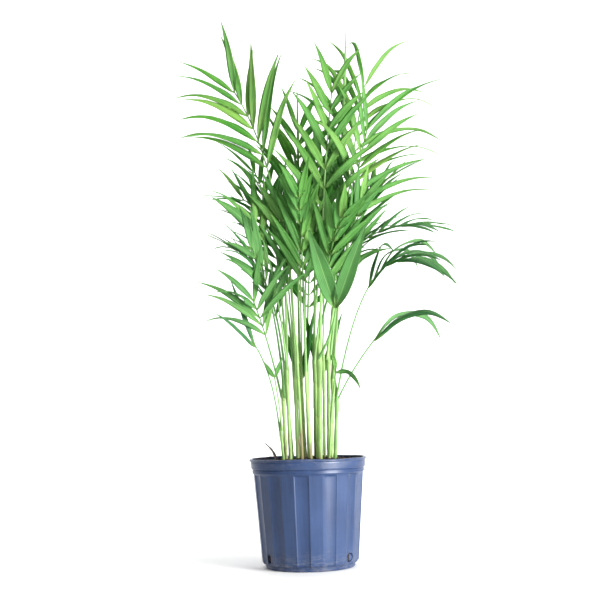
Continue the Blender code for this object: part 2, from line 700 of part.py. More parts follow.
def grow_spear(name, base, crowd):
    """A closed new leaf: a slim tapering blade from the cane's top."""
    cane, tip, lean, scale = SPEARS[name]
    tip = Vector(tip)
    bend = Vector((*base.xy.lerp(tip.xy, lean), base.z + 0.5 * (tip.z - base.z)))
    path = Path(base, bend, tip)
    ribs = []
    for share, size in zip(SPEAR_SHARES, [scale * size for size in SPEAR_SIZES]):
        centre, heading, side, up = path.frame(share * path.length, compass(0))
        if share == 0:
            side, up = Vector((-1, 0, 0)), Vector((0, -1, 0))
        ribs.append(Rib(centre, side * size, up * size * STALK_FLATNESS))
    corners, faces = strip_of(ribs, tip, grow=CLEARANCE / 2)
    if crowd.touches(corners, faces, ignore=cane):
        raise RuntimeError(f"{name} is not clear")
    crowd.add(name, *strip_of(ribs, tip))
    loft = Loft(ribs)
    last = len(loft.verts) - 4
    loft.verts.append(tip)
    loft.faces += [(last + j, last + (j + 1) % 4, last + 4) for j in range(4)]
    return loft.mesh(name)


def stalk_bases(tips):
    """Where each stalk stands: a cane's stalks share its top evenly, each towards its tip."""
    bases = {}
    for cane, (_, _, x, y, z, _) in CANES.items():
        turns = {name: math.atan2(tip[1] - y, tip[0] - x)
                 for name, (owner, tip) in tips.items() if owner == cane}
        names = sorted(turns, key=turns.get)
        out = STALK_SPREAD if len(names) > 1 else 0.0
        offsets = [turns[name] - math.tau * i / len(names) for i, name in enumerate(names)]
        first = sum(offsets) / max(1, len(offsets))
        for i, name in enumerate(names):
            turn = first + math.tau * i / len(names)
            bases[name] = Vector((x + out * math.cos(turn), y + out * math.sin(turn), z + GAP))
    return bases


# ---- debris on the soil ---------------------------------------------------------------------
CHIPS = {
    "dry_sheath_01": ((-0.066, -0.050, 0.0), (-0.072, -0.056, 0.018), (-0.090, -0.062, 0.040),
                      0.0028),
    "bark_chip_01": ((-0.112, -0.022, 0.0), (-0.104, -0.024, 0.006), (-0.092, -0.028, 0.003), 0.0024),
    "bark_chip_02": ((-0.092, 0.020, 0.0), (-0.084, 0.022, 0.005), (-0.070, 0.026, 0.002), 0.0022),
}
CHIP_SIZES = (1.0, 0.9, 0.35)
CHIP_CLEARANCE = 0.0016


def make_chip(name, parts, finishes):
    *places, radius = CHIPS[name]
    curve = bpy.data.curves.new(name, "CURVE")
    curve.dimensions = "3D"
    curve.bevel_depth = radius
    curve.bevel_resolution = 1
    curve.use_fill_caps = True
    spline = curve.splines.new("POLY")
    spline.points.add(len(places) - 1)
    for point, (x, y, height), size in zip(spline.points, places, CHIP_SIZES):
        z = soil_height(x, y) + radius + CHIP_CLEARANCE + height
        point.co = (x, y, z, 1.0)
        point.radius = size
    return add_object(name, curve, finishes["dry_sheath"], parts)


def add_solid_to_crowd(item, crowd):
    graph = bpy.context.evaluated_depsgraph_get()
    mesh = bpy.data.meshes.new_from_object(item.evaluated_get(graph))
    corners = [item.matrix_world @ vert.co for vert in mesh.vertices]
    crowd.add(item.name, corners, [tuple(face.vertices) for face in mesh.polygons])
    bpy.data.meshes.remove(mesh)


def main():
    clear_scene()
    parts = make_collection("potted_palm")
    cutters = make_collection("cutters")
    finishes = make_finishes()
    make_pot(parts, cutters, finishes)
    make_soil(parts, cutters, finishes)
    solids = [make_cane(name, parts, finishes) for name in CANES]
    solids += [make_chip(name, parts, finishes) for name in CHIPS]
    bpy.context.view_layer.update()
    crowd = Crowd()
    for item in solids:
        add_solid_to_crowd(item, crowd)

    specs = {name: {**FROND_DEFAULTS, **spec} for name, spec in FRONDS.items()}
    specs |= {name: {**LEAF_DEFAULTS, **spec} for name, spec in LEAVES.items()}
    tips = {name: (spec["cane"], spec["tip"]) for name, spec in specs.items()}
    tips |= {name: (cane, tip) for name, (cane, tip, _, _) in SPEARS.items()}
    bases = stalk_bases(tips)
    for name in SPEARS:
        mesh = grow_spear(name, bases[name], crowd)
        add_object(name, mesh, finishes["frond"], parts)
    stalks = {name: place_stalk(name, spec, bases[name], crowd) for name, spec in specs.items()}
    for number, (name, spec) in enumerate(specs.items()):
        rng = random.Random(number)
        mesh = grow_leaf(name, spec, *stalks[name], crowd, rng)
        add_object(name, mesh, finishes["frond"], parts)


main()
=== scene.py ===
# %% [markdown]
# # A palm in a nursery pot
# This lesson dresses a plain, measured model of a potted palm: its pot, soil, canes, fronds
# and young leaves. Every new surface is worked out from the plain one, not fitted by eye.

# %% Load the frame
import math

import bmesh
import bpy
import numpy as np
from mathutils import Matrix, Vector


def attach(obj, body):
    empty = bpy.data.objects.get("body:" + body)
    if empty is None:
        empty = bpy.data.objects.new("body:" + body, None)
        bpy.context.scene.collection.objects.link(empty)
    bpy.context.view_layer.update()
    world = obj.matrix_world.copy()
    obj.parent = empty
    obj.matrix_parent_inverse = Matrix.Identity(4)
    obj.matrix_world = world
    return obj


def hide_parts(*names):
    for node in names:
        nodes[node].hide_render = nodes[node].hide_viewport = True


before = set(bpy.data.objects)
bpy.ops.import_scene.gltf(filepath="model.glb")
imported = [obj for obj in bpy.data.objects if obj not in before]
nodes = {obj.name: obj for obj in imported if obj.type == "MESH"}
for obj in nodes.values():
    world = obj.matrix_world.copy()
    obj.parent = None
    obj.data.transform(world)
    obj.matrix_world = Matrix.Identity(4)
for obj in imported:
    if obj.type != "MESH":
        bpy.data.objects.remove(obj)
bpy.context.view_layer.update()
print("nodes:", len(nodes))

# %% [markdown]
# ## Colour management, camera, floor and light
# A nursery shows its plants on white, level with the leaves, from a few steps away. A long
# lens keeps the pot's sides almost parallel. A constraint could aim the camera, but three
# numbers (height, pitch and roll) say the same and are easier to change.

# %% Camera
CAMERA_DISTANCE = 2.5
CAMERA_HEIGHT = 0.333
CAMERA_SHIFT_X = -0.008
CAMERA_PITCH = 5.5
CAMERA_ROLL = -1.5
CAMERA_LENS = 68.8

scene = bpy.context.scene
scene.view_settings.view_transform = "Standard"
camera_data = bpy.data.cameras.new("camera")
camera_data.lens = CAMERA_LENS
camera = bpy.data.objects.new("camera", camera_data)
scene.collection.objects.link(camera)
camera.matrix_world = (
    Matrix.Translation((CAMERA_SHIFT_X, -CAMERA_DISTANCE, CAMERA_HEIGHT))
    @ Matrix.Rotation(math.radians(90 + CAMERA_PITCH), 4, "X")
    @ Matrix.Rotation(math.radians(CAMERA_ROLL), 4, "Z")
)
scene.camera = camera
print("camera at", tuple(round(v, 3) for v in camera.location))


# %% Small tools for node materials
class Paint:
    """A material being built: its node tree, its shader and the steps that fill the tree. A
    step's value may be a number, a colour or another node's output."""

    def __init__(self, name):
        self.material = bpy.data.materials.new(name)
        self.material.use_nodes = True
        self.tree = self.material.node_tree
        self.shader = self.tree.nodes["Principled BSDF"]

    def put(self, value, socket):
        """Links an output to the socket, or writes a number or a colour into it."""
        if isinstance(value, bpy.types.NodeSocket):
            self.tree.links.new(value, socket)
        else:
            socket.default_value = value

    def fill(self, node, **inputs):
        """Fills a node's inputs by name, with _ for a space."""
        for key, value in inputs.items():
            self.put(value, node.inputs[key.replace("_", " ")])
        return node

    def node(self, kind, settings=None, **inputs):
        """Adds a node, sets its properties and fills its inputs."""
        node = self.tree.nodes.new(kind)
        for key, value in (settings or {}).items():
            setattr(node, key, value)
        return self.fill(node, **inputs)

    def shade(self, **inputs):
        self.fill(self.shader, **inputs)

    def mix(self, share, first, second):
        """A colour between first and second."""
        node = self.node("ShaderNodeMix", {"data_type": "RGBA"})
        for index, value in ((0, share), (6, first), (7, second)):
            self.put((*value, 1.0) if isinstance(value, tuple) else value, node.inputs[index])
        return node.outputs[2]

    def fit(self, value, low, high, new_low=0.0, new_high=1.0):
        """A number carried from one range to another and kept inside it."""
        return self.node("ShaderNodeMapRange", Value=value, From_Min=low, From_Max=high,
                         To_Min=new_low, To_Max=new_high).outputs["Result"]

    def math(self, operation, *values):
        node = self.node("ShaderNodeMath", {"operation": operation})
        for socket, value in zip(node.inputs, values):
            self.put(value, socket)
        return node.outputs[0]

    def add(self, first, second):
        return self.math("ADD", first, second)

    def times(self, first, second):
        return self.math("MULTIPLY", first, second)

    def noise(self, vector, scale, detail=3.0, roughness=0.5):
        """Cloudy noise from 0 to 1; a scale for each axis draws it out along one."""
        if isinstance(scale, tuple):
            mapping = self.node("ShaderNodeMapping", Vector=vector, Scale=scale)
            vector, scale = mapping.outputs["Vector"], 1.0
        return self.node("ShaderNodeTexNoise", Vector=vector, Scale=scale, Detail=detail,
                         Roughness=roughness).outputs["Fac"]

    def place(self):
        """The point's place in the object, in metres."""
        return self.node("ShaderNodeTexCoord").outputs["Object"]

    def uv(self):
        """The grown pieces' UV map: x goes across or round a piece, y along it."""
        return self.node("ShaderNodeUVMap", {"uv_map": "along"}).outputs["UV"]

    def number(self, name):
        """A number that the piece carries at its vertices."""
        return self.node("ShaderNodeAttribute", {"attribute_name": name}).outputs["Fac"]

    def bump(self, height, strength, distance):
        """Small relief: strength is its share, distance its depth in metres."""
        node = self.node("ShaderNodeBump", Strength=strength, Distance=distance, Height=height)
        self.shade(Normal=node.outputs["Normal"])


# %% Floor, backdrop and lights
def sweep_backdrop(width=9.0, front=-5.0, back=3.2, height=5.0, bend=1.2, steps=24):
    """A floor that bends up into a wall: a straight run, a quarter circle, a straight run."""
    turn = np.linspace(0, np.pi / 2, steps)
    y = np.concatenate([[front], back - bend + bend * np.sin(turn), [back]])
    z = np.concatenate([[0.0], bend - bend * np.cos(turn), [height]])
    count = len(y)
    points = [(side * width / 2, *point) for side in (-1, 1) for point in zip(y, z)]
    faces = [(i, i + count, i + 1 + count, i + 1) for i in range(count - 1)]
    mesh = bpy.data.meshes.new("backdrop")
    mesh.from_pydata(points, [], faces)
    mesh.shade_smooth()
    return mesh


backdrop = bpy.data.objects.new("backdrop", sweep_backdrop())
scene.collection.objects.link(backdrop)
paper = Paint("pale_paper")
paper.shade(Base_Color=(0.93, 0.93, 0.93, 1.0), Roughness=0.9)
backdrop.data.materials.append(paper.material)

WORLD_STRENGTH = 0.26
world = bpy.data.worlds.new("studio")
scene.world = world
world.use_nodes = True
sky = world.node_tree.nodes["Background"]
sky.inputs["Color"].default_value = (1.0, 1.0, 1.0, 1.0)
sky.inputs["Strength"].default_value = WORLD_STRENGTH


def area_light(name, place, target, size, power, colour):
    """A soft square light, turned towards a target."""
    data = bpy.data.lights.new(name, "AREA")
    data.size = size
    data.energy = power
    data.color = colour
    light = bpy.data.objects.new(name, data)
    scene.collection.objects.link(light)
    light.location = place
    light.rotation_euler = (Vector(target) - Vector(place)).to_track_quat("-Z", "Y").to_euler()


# name: place, target, size in metres, power in watts, colour
LIGHTS = {
    "key": ((2.0, -1.8, 0.56), (0, 0, 0.42), 1.15, 190.0, (1.0, 0.99, 0.97)),
    "fill": ((-1.6, -2.2, 2.9), (0, 0, 0.7), 1.8, 34.0, (0.97, 0.98, 1.0)),
    "top": ((0.2, 0.4, 3.2), (0, 0, 0.6), 2.2, 58.0, (1.0, 1.0, 1.0)),
    "backdrop_light": ((0.0, 1.0, 2.4), (0.0, 3.2, 1.6), 2.6, 80.0, (1.0, 1.0, 1.0)),
}
for name, values in LIGHTS.items():
    area_light(name, *values)


# %% [markdown]
# ## Surfaces from arrays
# A pot, a cane and a leaflet are all rings of points, each joined to the next. Curve bevels
# and the Screw modifier make such shapes one at a time, but a palm has hundreds of leaflets.
# Arrays of rings are quicker, and each ring can change its width and its fold.

# %% Rings of points made into a mesh
class Builder:
    """Collects vertices with their UV and named numbers, and faces, for one mesh."""

    def __init__(self):
        self.points, self.faces, self.uv, self.slots = [], [], [], []
        self.numbers, self.count = {}, 0

    def add(self, points, faces, uv=None, slot=0, **numbers):
        size = len(points)
        self.points.append(points)
        self.faces += [faces_of + self.count for faces_of in faces]
        self.slots += [np.full(len(faces_of), slot) for faces_of in faces]
        self.uv.append(np.zeros((size, 2)) if uv is None else uv)
        for key, value in numbers.items():
            self.numbers.setdefault(key, []).append(np.broadcast_to(value, size))
        self.count += size

    def build(self, name, materials=(), flat=False):
        """Writes the arrays into a mesh object with a UV map called along."""
        points = np.concatenate(self.points)
        sizes = np.concatenate([np.full(len(f), f.shape[1]) for f in self.faces])
        corners = np.concatenate([f.ravel() for f in self.faces])
        mesh = bpy.data.meshes.new(name)
        mesh.vertices.add(len(points))
        mesh.vertices.foreach_set("co", points.ravel())
        mesh.loops.add(len(corners))
        mesh.loops.foreach_set("vertex_index", corners)
        mesh.polygons.add(len(sizes))
        mesh.polygons.foreach_set("loop_start", np.concatenate([[0], np.cumsum(sizes)[:-1]]))
        mesh.update(calc_edges=True)
        mesh.polygons.foreach_set("use_smooth", np.full(len(sizes), not flat))
        mesh.polygons.foreach_set("material_index", np.concatenate(self.slots))
        layer = mesh.uv_layers.new(name="along")
        layer.uv.foreach_set("vector", np.concatenate(self.uv)[corners].ravel())
        for key, values in self.numbers.items():
            attribute = mesh.attributes.new(key, "FLOAT", "POINT")
            attribute.data.foreach_set("value", np.concatenate(values).astype(np.float32))
        mesh.validate()
        for material in materials:
            mesh.materials.append(material)
        item = bpy.data.objects.new(name, mesh)
        scene.collection.objects.link(item)
        return item


def ring_faces(rows, around):
    """Quads between neighbouring rings of a closed tube, row by row."""
    low = np.arange(rows - 1)[:, None] * around
    high = low + around
    j = np.arange(around)[None, :]
    k = (j + 1) % around
    return np.stack([low + j, low + k, high + k, high + j], axis=-1).reshape(-1, 4)


def tube_batch(rings):
    """Closed tubes from rings of shape (tubes, rows, around, 3): capped at the start, pointed at
    the end. Each tube gets one more vertex, the mean of its last ring, as its point."""
    tubes, rows, around, _ = rings.shape
    ends = rings[:, -1].mean(axis=1, keepdims=True)
    points = np.concatenate([rings.reshape(tubes, -1, 3), ends], axis=1)
    base = (np.arange(tubes) * (rows * around + 1))[:, None, None]
    sides = ring_faces(rows, around)[None] + base
    j = np.arange(around)
    last = (rows - 1) * around
    tip = np.stack([last + j, last + (j + 1) % around, np.full(around, rows * around)], axis=-1)
    faces = [sides.reshape(-1, 4), (tip[None] + base).reshape(-1, 3),
             (j[None, None, ::-1] + base).reshape(-1, around)]
    return points.reshape(-1, 3), faces


def add_tube(builder, rings, across, along, slot=0, **numbers):
    """Adds one tube. Its UV takes across from the place round a ring and along from the ring."""
    points, faces = tube_batch(rings[None])
    u, v = np.broadcast_arrays(across, along[:, None])
    uv = np.concatenate([np.stack([u, v], axis=-1).reshape(-1, 2), [[0.5, v.max()]]])
    builder.add(points, faces, uv, slot=slot, **numbers)


def turn_round(around):
    """Equal steps of angle round a ring."""
    return np.arange(around) * math.tau / around


def unit(vectors):
    """The vectors at length 1."""
    return vectors / np.maximum(np.linalg.norm(vectors, axis=-1, keepdims=True), 1e-12)


def smooth_line(stations, at, shares):
    """Cubic Hermite curve through stations at the given shares, with slopes from neighbours.
    The result has one point for each number in at."""
    gaps = np.diff(shares)
    chords = np.diff(stations, axis=-2) / gaps[:, None]
    inner = (chords[..., :-1, :] * gaps[1:, None] + chords[..., 1:, :] * gaps[:-1, None])
    inner = inner / (gaps[:-1] + gaps[1:])[:, None]
    first = 1.5 * chords[..., :1, :] - 0.5 * inner[..., :1, :]
    last = 1.5 * chords[..., -1:, :] - 0.5 * inner[..., -1:, :]
    slopes = np.concatenate([first, inner, last], axis=-2)
    piece = np.clip(np.searchsorted(shares, at, side="right") - 1, 0, len(gaps) - 1)
    t = ((at - shares[piece]) / gaps[piece])[:, None]
    gap = gaps[piece][:, None]
    a, b = stations[..., piece, :], stations[..., piece + 1, :]
    slope_a, slope_b = slopes[..., piece, :], slopes[..., piece + 1, :]
    return ((2 * t**3 - 3 * t**2 + 1) * a + (t**3 - 2 * t**2 + t) * gap * slope_a
            + (3 * t**2 - 2 * t**3) * b + (t**3 - t**2) * gap * slope_b)


def smooth_rod(centres, radii, rows):
    """A rod's line and radii at equal shares of its length, those shares, and the length."""
    steps = np.linalg.norm(np.diff(centres, axis=0), axis=1)
    length = np.concatenate([[0], np.cumsum(steps)])
    at = np.linspace(0, 1, rows)
    shares = length / length[-1]
    return smooth_line(centres, at, shares), np.interp(at, shares, radii), at, length[-1]


def finish_piece(item, node):
    """The piece rides on the root and stands for its CAD node, which is hidden."""
    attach(item, "root")
    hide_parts(node)


print("tools ready")

# %% [markdown]
# ## Reading the plain leaves
# Each plain frond is a stalk of four-cornered rings, with leaflets of three steps: a foot on the
# stalk, two rings and a point. The faces round a point fill only a small angle, which finds it.
# Its neighbours are the second ring, theirs the first ring, and theirs the foot.


# %% Find a leaf's rings from its mesh
def welded(node):
    """A node's vertices without doubles, its triangles and each vertex's neighbours."""
    mesh = nodes[node].data
    mesh.calc_loop_triangles()
    co = np.array([v.co for v in mesh.vertices])
    _, first, inverse = np.unique(np.round(co, 6), axis=0, return_index=True,
                                  return_inverse=True)
    tris = inverse.reshape(-1)[np.array([t.vertices for t in mesh.loop_triangles])]
    neighbours = [set() for _ in first]
    for a, b, c in tris.tolist():
        neighbours[a] |= {b, c}
        neighbours[b] |= {a, c}
        neighbours[c] |= {a, b}
    return co[first], tris, neighbours


def sharp_points(points, tris, limit=math.radians(75)):
    """Vertices whose triangles fill less than the limit: the leaflets' points."""
    total = np.zeros(len(points))
    for k in range(3):
        a, b, c = (points[tris[:, (k + j) % 3]] for j in range(3))
        cosine = (unit(b - a) * unit(c - a)).sum(axis=1)
        np.add.at(total, tris[:, k], np.arccos(np.clip(cosine, -1, 1)))
    return np.flatnonzero(total < limit).tolist()


def around_of(neighbours, ring, *known):
    """The vertices next to a ring that aren't in it or in the rings already known."""
    return set().union(*(neighbours[i] for i in ring)).difference(ring, *known)


def stalk_layers(points, neighbours, stalk):
    """The stalk's rings of four, from its foot upwards."""
    layers = [set(sorted(stalk, key=lambda i: points[i][2])[:4])]
    while layers[-1]:
        stalk = stalk - layers[-1]
        layers.append(around_of(neighbours, layers[-1]) & stalk)
    return layers[:-1]


def read_leaf(node):
    """Stalk line and sizes, and for each leaflet its centres, width directions and half widths."""
    points, tris, neighbours = welded(node)
    leaflets, blade = [], set()
    for tip in sharp_points(points, tris):
        second = around_of(neighbours, [tip])
        first = around_of(neighbours, second, [tip])
        foot = around_of(neighbours, first, second)
        leaflets.append((foot, first, second, tip))
        blade |= {tip} | second | first
    layers = stalk_layers(points, neighbours, set(range(len(points))) - blade)
    line = np.array([points[sorted(layer)].mean(axis=0) for layer in layers])
    size = np.array([np.linalg.norm(points[sorted(layer)] - centre, axis=1).mean()
                     for layer, centre in zip(layers, line)])
    rings = layers + [ring for leaflet in leaflets for ring in leaflet[:3]]
    assert all(len(ring) == 4 for ring in rings), node
    centres, wides, halves = [], [], []
    for foot, first, second, tip in leaflets:
        centre = [points[sorted(ring)].mean(axis=0) for ring in (foot, first, second)]
        nearest = np.argmin(np.linalg.norm(line - centre[0], axis=1))
        heading = unit(line[min(nearest + 1, len(line) - 1)] - line[max(nearest - 1, 0)])
        wide, half = [], []
        for ring, middle in zip((foot, first, second), centre):
            spread = points[sorted(ring)] - middle
            axis = np.linalg.svd(spread)[2][0]
            axis = axis if axis @ (heading if not wide else wide[-1]) > 0 else -axis
            wide.append(axis)
            half.append(np.abs(spread @ axis).mean())
        centres.append(centre + [points[tip]])
        wides.append(wide)
        halves.append(half)
    return {"line": line, "size": size, "centres": np.array(centres),
            "wides": np.array(wides), "halves": np.array(halves)}


leaves = {name: read_leaf(name) for name in sorted(nodes)
          if name.startswith(("frond", "young_leaf"))}
print("leaves:", len(leaves), "leaflets:", sum(len(leaf["centres"]) for leaf in leaves.values()))

# %% [markdown]
# ## Leaf finish
# A palm leaflet is a thin blade with a raised midrib, fine parallel veins, a satin upper side
# and a paler underside. Light shines through it, so the shader mixes a glossy surface with a
# translucent one. There are too many veins to model, so they are bumps across the blade's own
# UV map. Each leaflet carries two numbers: its tone, from deep to fresh green, and its age,
# which turns it cooler and duller.


# %% Leaf material
LIGHT_THROUGH = 0.28
VEINS_ACROSS = 130.0
# share of tone: base colour
LEAF_STOPS = ((0.0, (0.016, 0.115, 0.011)), (0.33, (0.032, 0.185, 0.017)),
              (0.66, (0.078, 0.260, 0.032)), (1.0, (0.185, 0.360, 0.070)))


def leaf_green_of(mat, share):
    """The leaf's greens on a ramp, from deep to fresh."""
    ramp = mat.node("ShaderNodeValToRGB", Fac=share)
    stops = ramp.color_ramp.elements
    for place, _ in LEAF_STOPS[1:-1]:
        stops.new(place)
    for stop, (_, colour) in zip(stops, LEAF_STOPS):
        stop.color = (*colour, 1.0)
    return ramp.outputs["Color"]


def leaf_material(name, pleat_count):
    """Blade colour from tone, age, clouds and lengthwise streaks; pale midrib and foot. Light
    comes through the blade from behind."""
    mat = Paint(name)
    uv = mat.uv()
    split = mat.node("ShaderNodeSeparateXYZ", Vector=uv)
    across, along = split.outputs["X"], split.outputs["Y"]
    clouds = mat.noise(mat.place(), 18.0, 4.0)
    streaks = mat.noise(uv, (34.0, 1.3, 1.0), 3.0, 0.6)
    share = mat.add(mat.number("tone"), mat.fit(clouds, 0.3, 0.7, -0.22, 0.22))
    share = mat.add(share, mat.fit(streaks, 0.3, 0.7, -0.16, 0.16))
    fresh = leaf_green_of(mat, share)
    old = mat.mix(0.55, fresh, (0.085, 0.210, 0.115))
    colour = mat.mix(mat.number("age"), fresh, old)
    middle = mat.math("ABSOLUTE", mat.math("SUBTRACT", across, 0.5))
    dry = mat.times(mat.fit(along, 0.955, 1.0), mat.fit(clouds, 0.45, 0.60))
    for mask, tint in ((mat.fit(middle, 0.0, 0.045, 0.6, 0.0), (0.25, 0.44, 0.13)),
                       (mat.fit(middle, 0.44, 0.5, 0.0, 0.35), (0.20, 0.34, 0.11)),
                       (mat.fit(along, 0.0, 0.14, 0.7, 0.0), (0.23, 0.42, 0.10)),
                       (dry, (0.34, 0.22, 0.09))):
        colour = mat.mix(mask, colour, tint)
    colour = mat.mix(mat.number("under"), colour, mat.mix(0.22, colour, (0.24, 0.46, 0.18)))
    mat.shade(Base_Color=colour, Roughness=mat.fit(streaks, 0.3, 0.7, 0.40, 0.58),
              Specular_IOR_Level=0.16)
    veins, pleats = (mat.math("SINE", mat.times(across, waves))
                     for waves in (VEINS_ACROSS, math.tau * pleat_count))
    relief = mat.add(mat.times(veins, 0.3), pleats)
    mat.bump(mat.add(relief, mat.times(streaks, 1.2)), 0.5, 0.0005)
    through = mat.mix(0.40, colour, (0.24, 0.74, 0.02))
    glow = mat.node("ShaderNodeBsdfTranslucent", Color=through)
    mix = mat.node("ShaderNodeMixShader", Fac=LIGHT_THROUGH)
    mat.put(mat.shader.outputs["BSDF"], mix.inputs[1])
    mat.put(glow.outputs["BSDF"], mix.inputs[2])
    mat.fill(mat.tree.nodes["Material Output"], Surface=mix.outputs["Shader"])
    return mat.material


leaf_green = leaf_material("leaf_green", 5)
broad_leaf_green = leaf_material("broad_leaf_green", 11)
print("leaf materials:", leaf_green.name, broad_leaf_green.name)


# %% Stalk and cane material
def stem_material(name, young, grown, mark):
    """Stem colour from tone, lengthwise fibres, brown patches and specks, and ring scars."""
    mat = Paint(name)
    place = mat.place()
    fibres = mat.noise(mat.uv(), (22.0, 2.2, 1.0), 3.0, 0.6)
    patches = mat.noise(place, (90.0, 90.0, 14.0), 3.0, 0.55)
    specks = mat.noise(place, (700.0, 700.0, 260.0), 2.0)
    share = mat.add(mat.number("tone"), mat.fit(fibres, 0.3, 0.7, -0.3, 0.3))
    colour = mat.mix(mat.fit(share, 0.0, 1.0), grown, young)
    brown = mat.add(mat.number("age"), mat.fit(patches, 0.35, 0.65, -0.45, 0.35))
    colour = mat.mix(mat.fit(brown, 0.35, 0.75, 0.0, 0.8), colour, mark)
    colour = mat.mix(mat.fit(specks, 0.66, 0.78, 0.0, 0.5), colour, mark)
    colour = mat.mix(mat.times(mat.number("scar"), 0.40), colour, (0.16, 0.15, 0.05))
    mat.shade(Base_Color=colour, Roughness=mat.fit(fibres, 0.3, 0.7, 0.36, 0.58),
              Specular_IOR_Level=0.35, Subsurface_Weight=0.12,
              Subsurface_Radius=(0.6, 1.0, 0.2), Subsurface_Scale=0.003)
    mat.bump(mat.add(fibres, mat.times(patches, 0.5)), 0.5, 0.0006)
    return mat.material


stalk_green = stem_material("stalk_green", (0.28, 0.46, 0.16), (0.08, 0.23, 0.05),
                            (0.20, 0.26, 0.05))
cane_green = stem_material("cane_green", (0.30, 0.45, 0.15), (0.11, 0.25, 0.06),
                           (0.16, 0.105, 0.05))
print("stem materials:", stalk_green.name, cane_green.name)

# %% [markdown]
# ## Leaflets and stalks
# The leaflet's line runs through its four stations on a smooth curve. Its width follows a power
# curve that swells quickly and thins slowly into a long point, and the blade is folded like a
# low roof along its midrib: steeply at the foot, gently in the middle.

# %% Leaflet surfaces
LEAFLET_ROWS = 17
STATIONS = np.array([0.0, 0.32, 0.68, 1.0])
BLADE_THICKNESS = 0.00045
LEAST_HALF_WIDTH = 0.0004
THIN_BELOW = 0.002
MIDRIB_RISE = 1.7
FOOT_SHARE = 0.02
UP = np.array([0.0, 0.0, 1.0])


def blade_width(share, belly=0.62, thin=1.18):
    """Width along the blade, 1 at its widest: (share + foot)^belly times (1 - share)^thin."""
    fine = np.linspace(0, 1, 200)
    top = ((fine + FOOT_SHARE) ** belly * (1.0 - fine) ** thin).max()
    return (share + FOOT_SHARE) ** belly * (1.0 - share) ** thin / top


def square_to(way, vectors):
    """The vectors at length 1, without their share along the way."""
    return unit(vectors - (vectors * way).sum(-1, keepdims=True) * way)


def leaflet_rings(leaf, look, rng):
    """Rings for every leaflet: from the left edge over the top to the right edge, and back
    underneath. An arching blade settles: away from its foot it turns its flat side up."""
    centres, wides, halves = leaf["centres"], leaf["wides"], leaf["halves"]
    cuts, pleat = look["cuts"], look["pleat"]
    count = len(centres)
    share = np.linspace(0, 1, LEAFLET_ROWS + 1)[:-1] ** 0.9
    line = smooth_line(centres, share, STATIONS)
    way = unit(smooth_line(centres, share + 0.01, STATIONS) - line)
    wides = np.concatenate([wides, wides[:, -1:]], axis=1)
    wide = square_to(way, smooth_line(wides, share, STATIONS))
    level = np.cross(way, UP)
    level = level * np.sign((level * wide).sum(-1, keepdims=True) + 1e-9)
    settle = np.clip((share - 0.05) / 0.35, 0, 1)[None, :, None] * look["settle"]
    settle = settle * (1 - np.abs(way[..., 2:])) ** 0.7
    wide = square_to(way, unit(wide * (1 - settle) + level * settle))
    normal = np.cross(way, wide)
    normal = normal * np.sign(normal[:, :1, 2:] + 1e-9)
    full = halves[:, 1:].max(axis=1) * rng.uniform(1.10, 1.28, count) * look["widen"]
    half = np.maximum(full[:, None] * blade_width(share)[None], LEAST_HALF_WIDTH)
    fold = np.radians(16 + 44 * np.exp(-share * 9) + 10 * share**2)[None]
    fold = fold * rng.uniform(0.8, 1.25, (count, 1))
    ripple = rng.uniform(0, math.tau, (count, 1))
    twist = rng.normal(0, 0.22, (count, 1)) * share[None] ** 1.5
    cos_t, sin_t = np.cos(twist)[..., None], np.sin(twist)[..., None]
    wide, normal = wide * cos_t + normal * sin_t, normal * cos_t - wide * sin_t
    over = np.linspace(-1, 1, cuts + 1)
    across = np.concatenate([over, over[-2:0:-1]])
    side = np.concatenate([[0.0], np.ones(cuts - 1), [0.0], -np.ones(cuts - 1)])
    u = across[None, None]
    h = half[..., None]
    slope = fold[..., None]
    out = u * h * np.cos(slope)
    drop = -(np.abs(u) ** 1.15) * h * np.sin(slope)
    wave = 0.035 * h * u * np.sin(5.0 * share[None, :, None] * math.pi + ripple[..., None])
    wave = wave + pleat * h * np.cos(u * math.pi * cuts / 2)
    thick = side * BLADE_THICKNESS / 2 * np.minimum(1.0, h / THIN_BELOW)
    midrib = np.where(np.abs(u) < 0.1, MIDRIB_RISE, 1.0)
    lift = (drop + wave + thick * midrib)[..., None]
    rings = line[:, :, None] + out[..., None] * wide[:, :, None] + lift * normal[:, :, None]
    flip = (np.cross(wide, normal) * way).sum(-1)[:, 0] > 0
    rings[flip] = rings[flip][:, :, ::-1]
    order = np.where(flip[:, None], across[::-1], across)
    below = np.where(flip[:, None], side[::-1], side) < 0
    return rings, share, order, below


def add_leaflets(builder, leaf, look, rng):
    """Adds every leaflet, each with its own small change of tone and age."""
    rings, share, order, below = leaflet_rings(leaf, look, rng)
    count, rows, around, _ = rings.shape
    points, faces = tube_batch(rings)
    u = np.broadcast_to((0.5 + 0.5 * order)[:, None], (count, rows, around))
    v = np.broadcast_to(share[None, :, None], (count, rows, around))
    uv = np.stack([u, v], axis=-1).reshape(count, -1, 2)
    uv = np.concatenate([uv, np.tile([[[0.5, 1.0]]], (count, 1, 1))], axis=1)
    tone, age = (np.repeat(look[key] + rng.normal(0, chance, count), rows * around + 1)
                 for key, chance in (("tone", 0.14), ("age", 0.10)))
    under = np.broadcast_to(below[:, None], (count, rows, around)).reshape(count, -1)
    under = np.concatenate([under, np.zeros((count, 1))], axis=1).ravel()
    builder.add(points, faces, uv.reshape(-1, 2), tone=tone, age=age, scar=0.0,
                under=under.astype(float))


CHANNEL = 0.22
LEAST_STALK = 0.0016
FOOT_SWELL = 0.30
FOOT_SWELL_LENGTH = 0.030
STEM_UV = 8


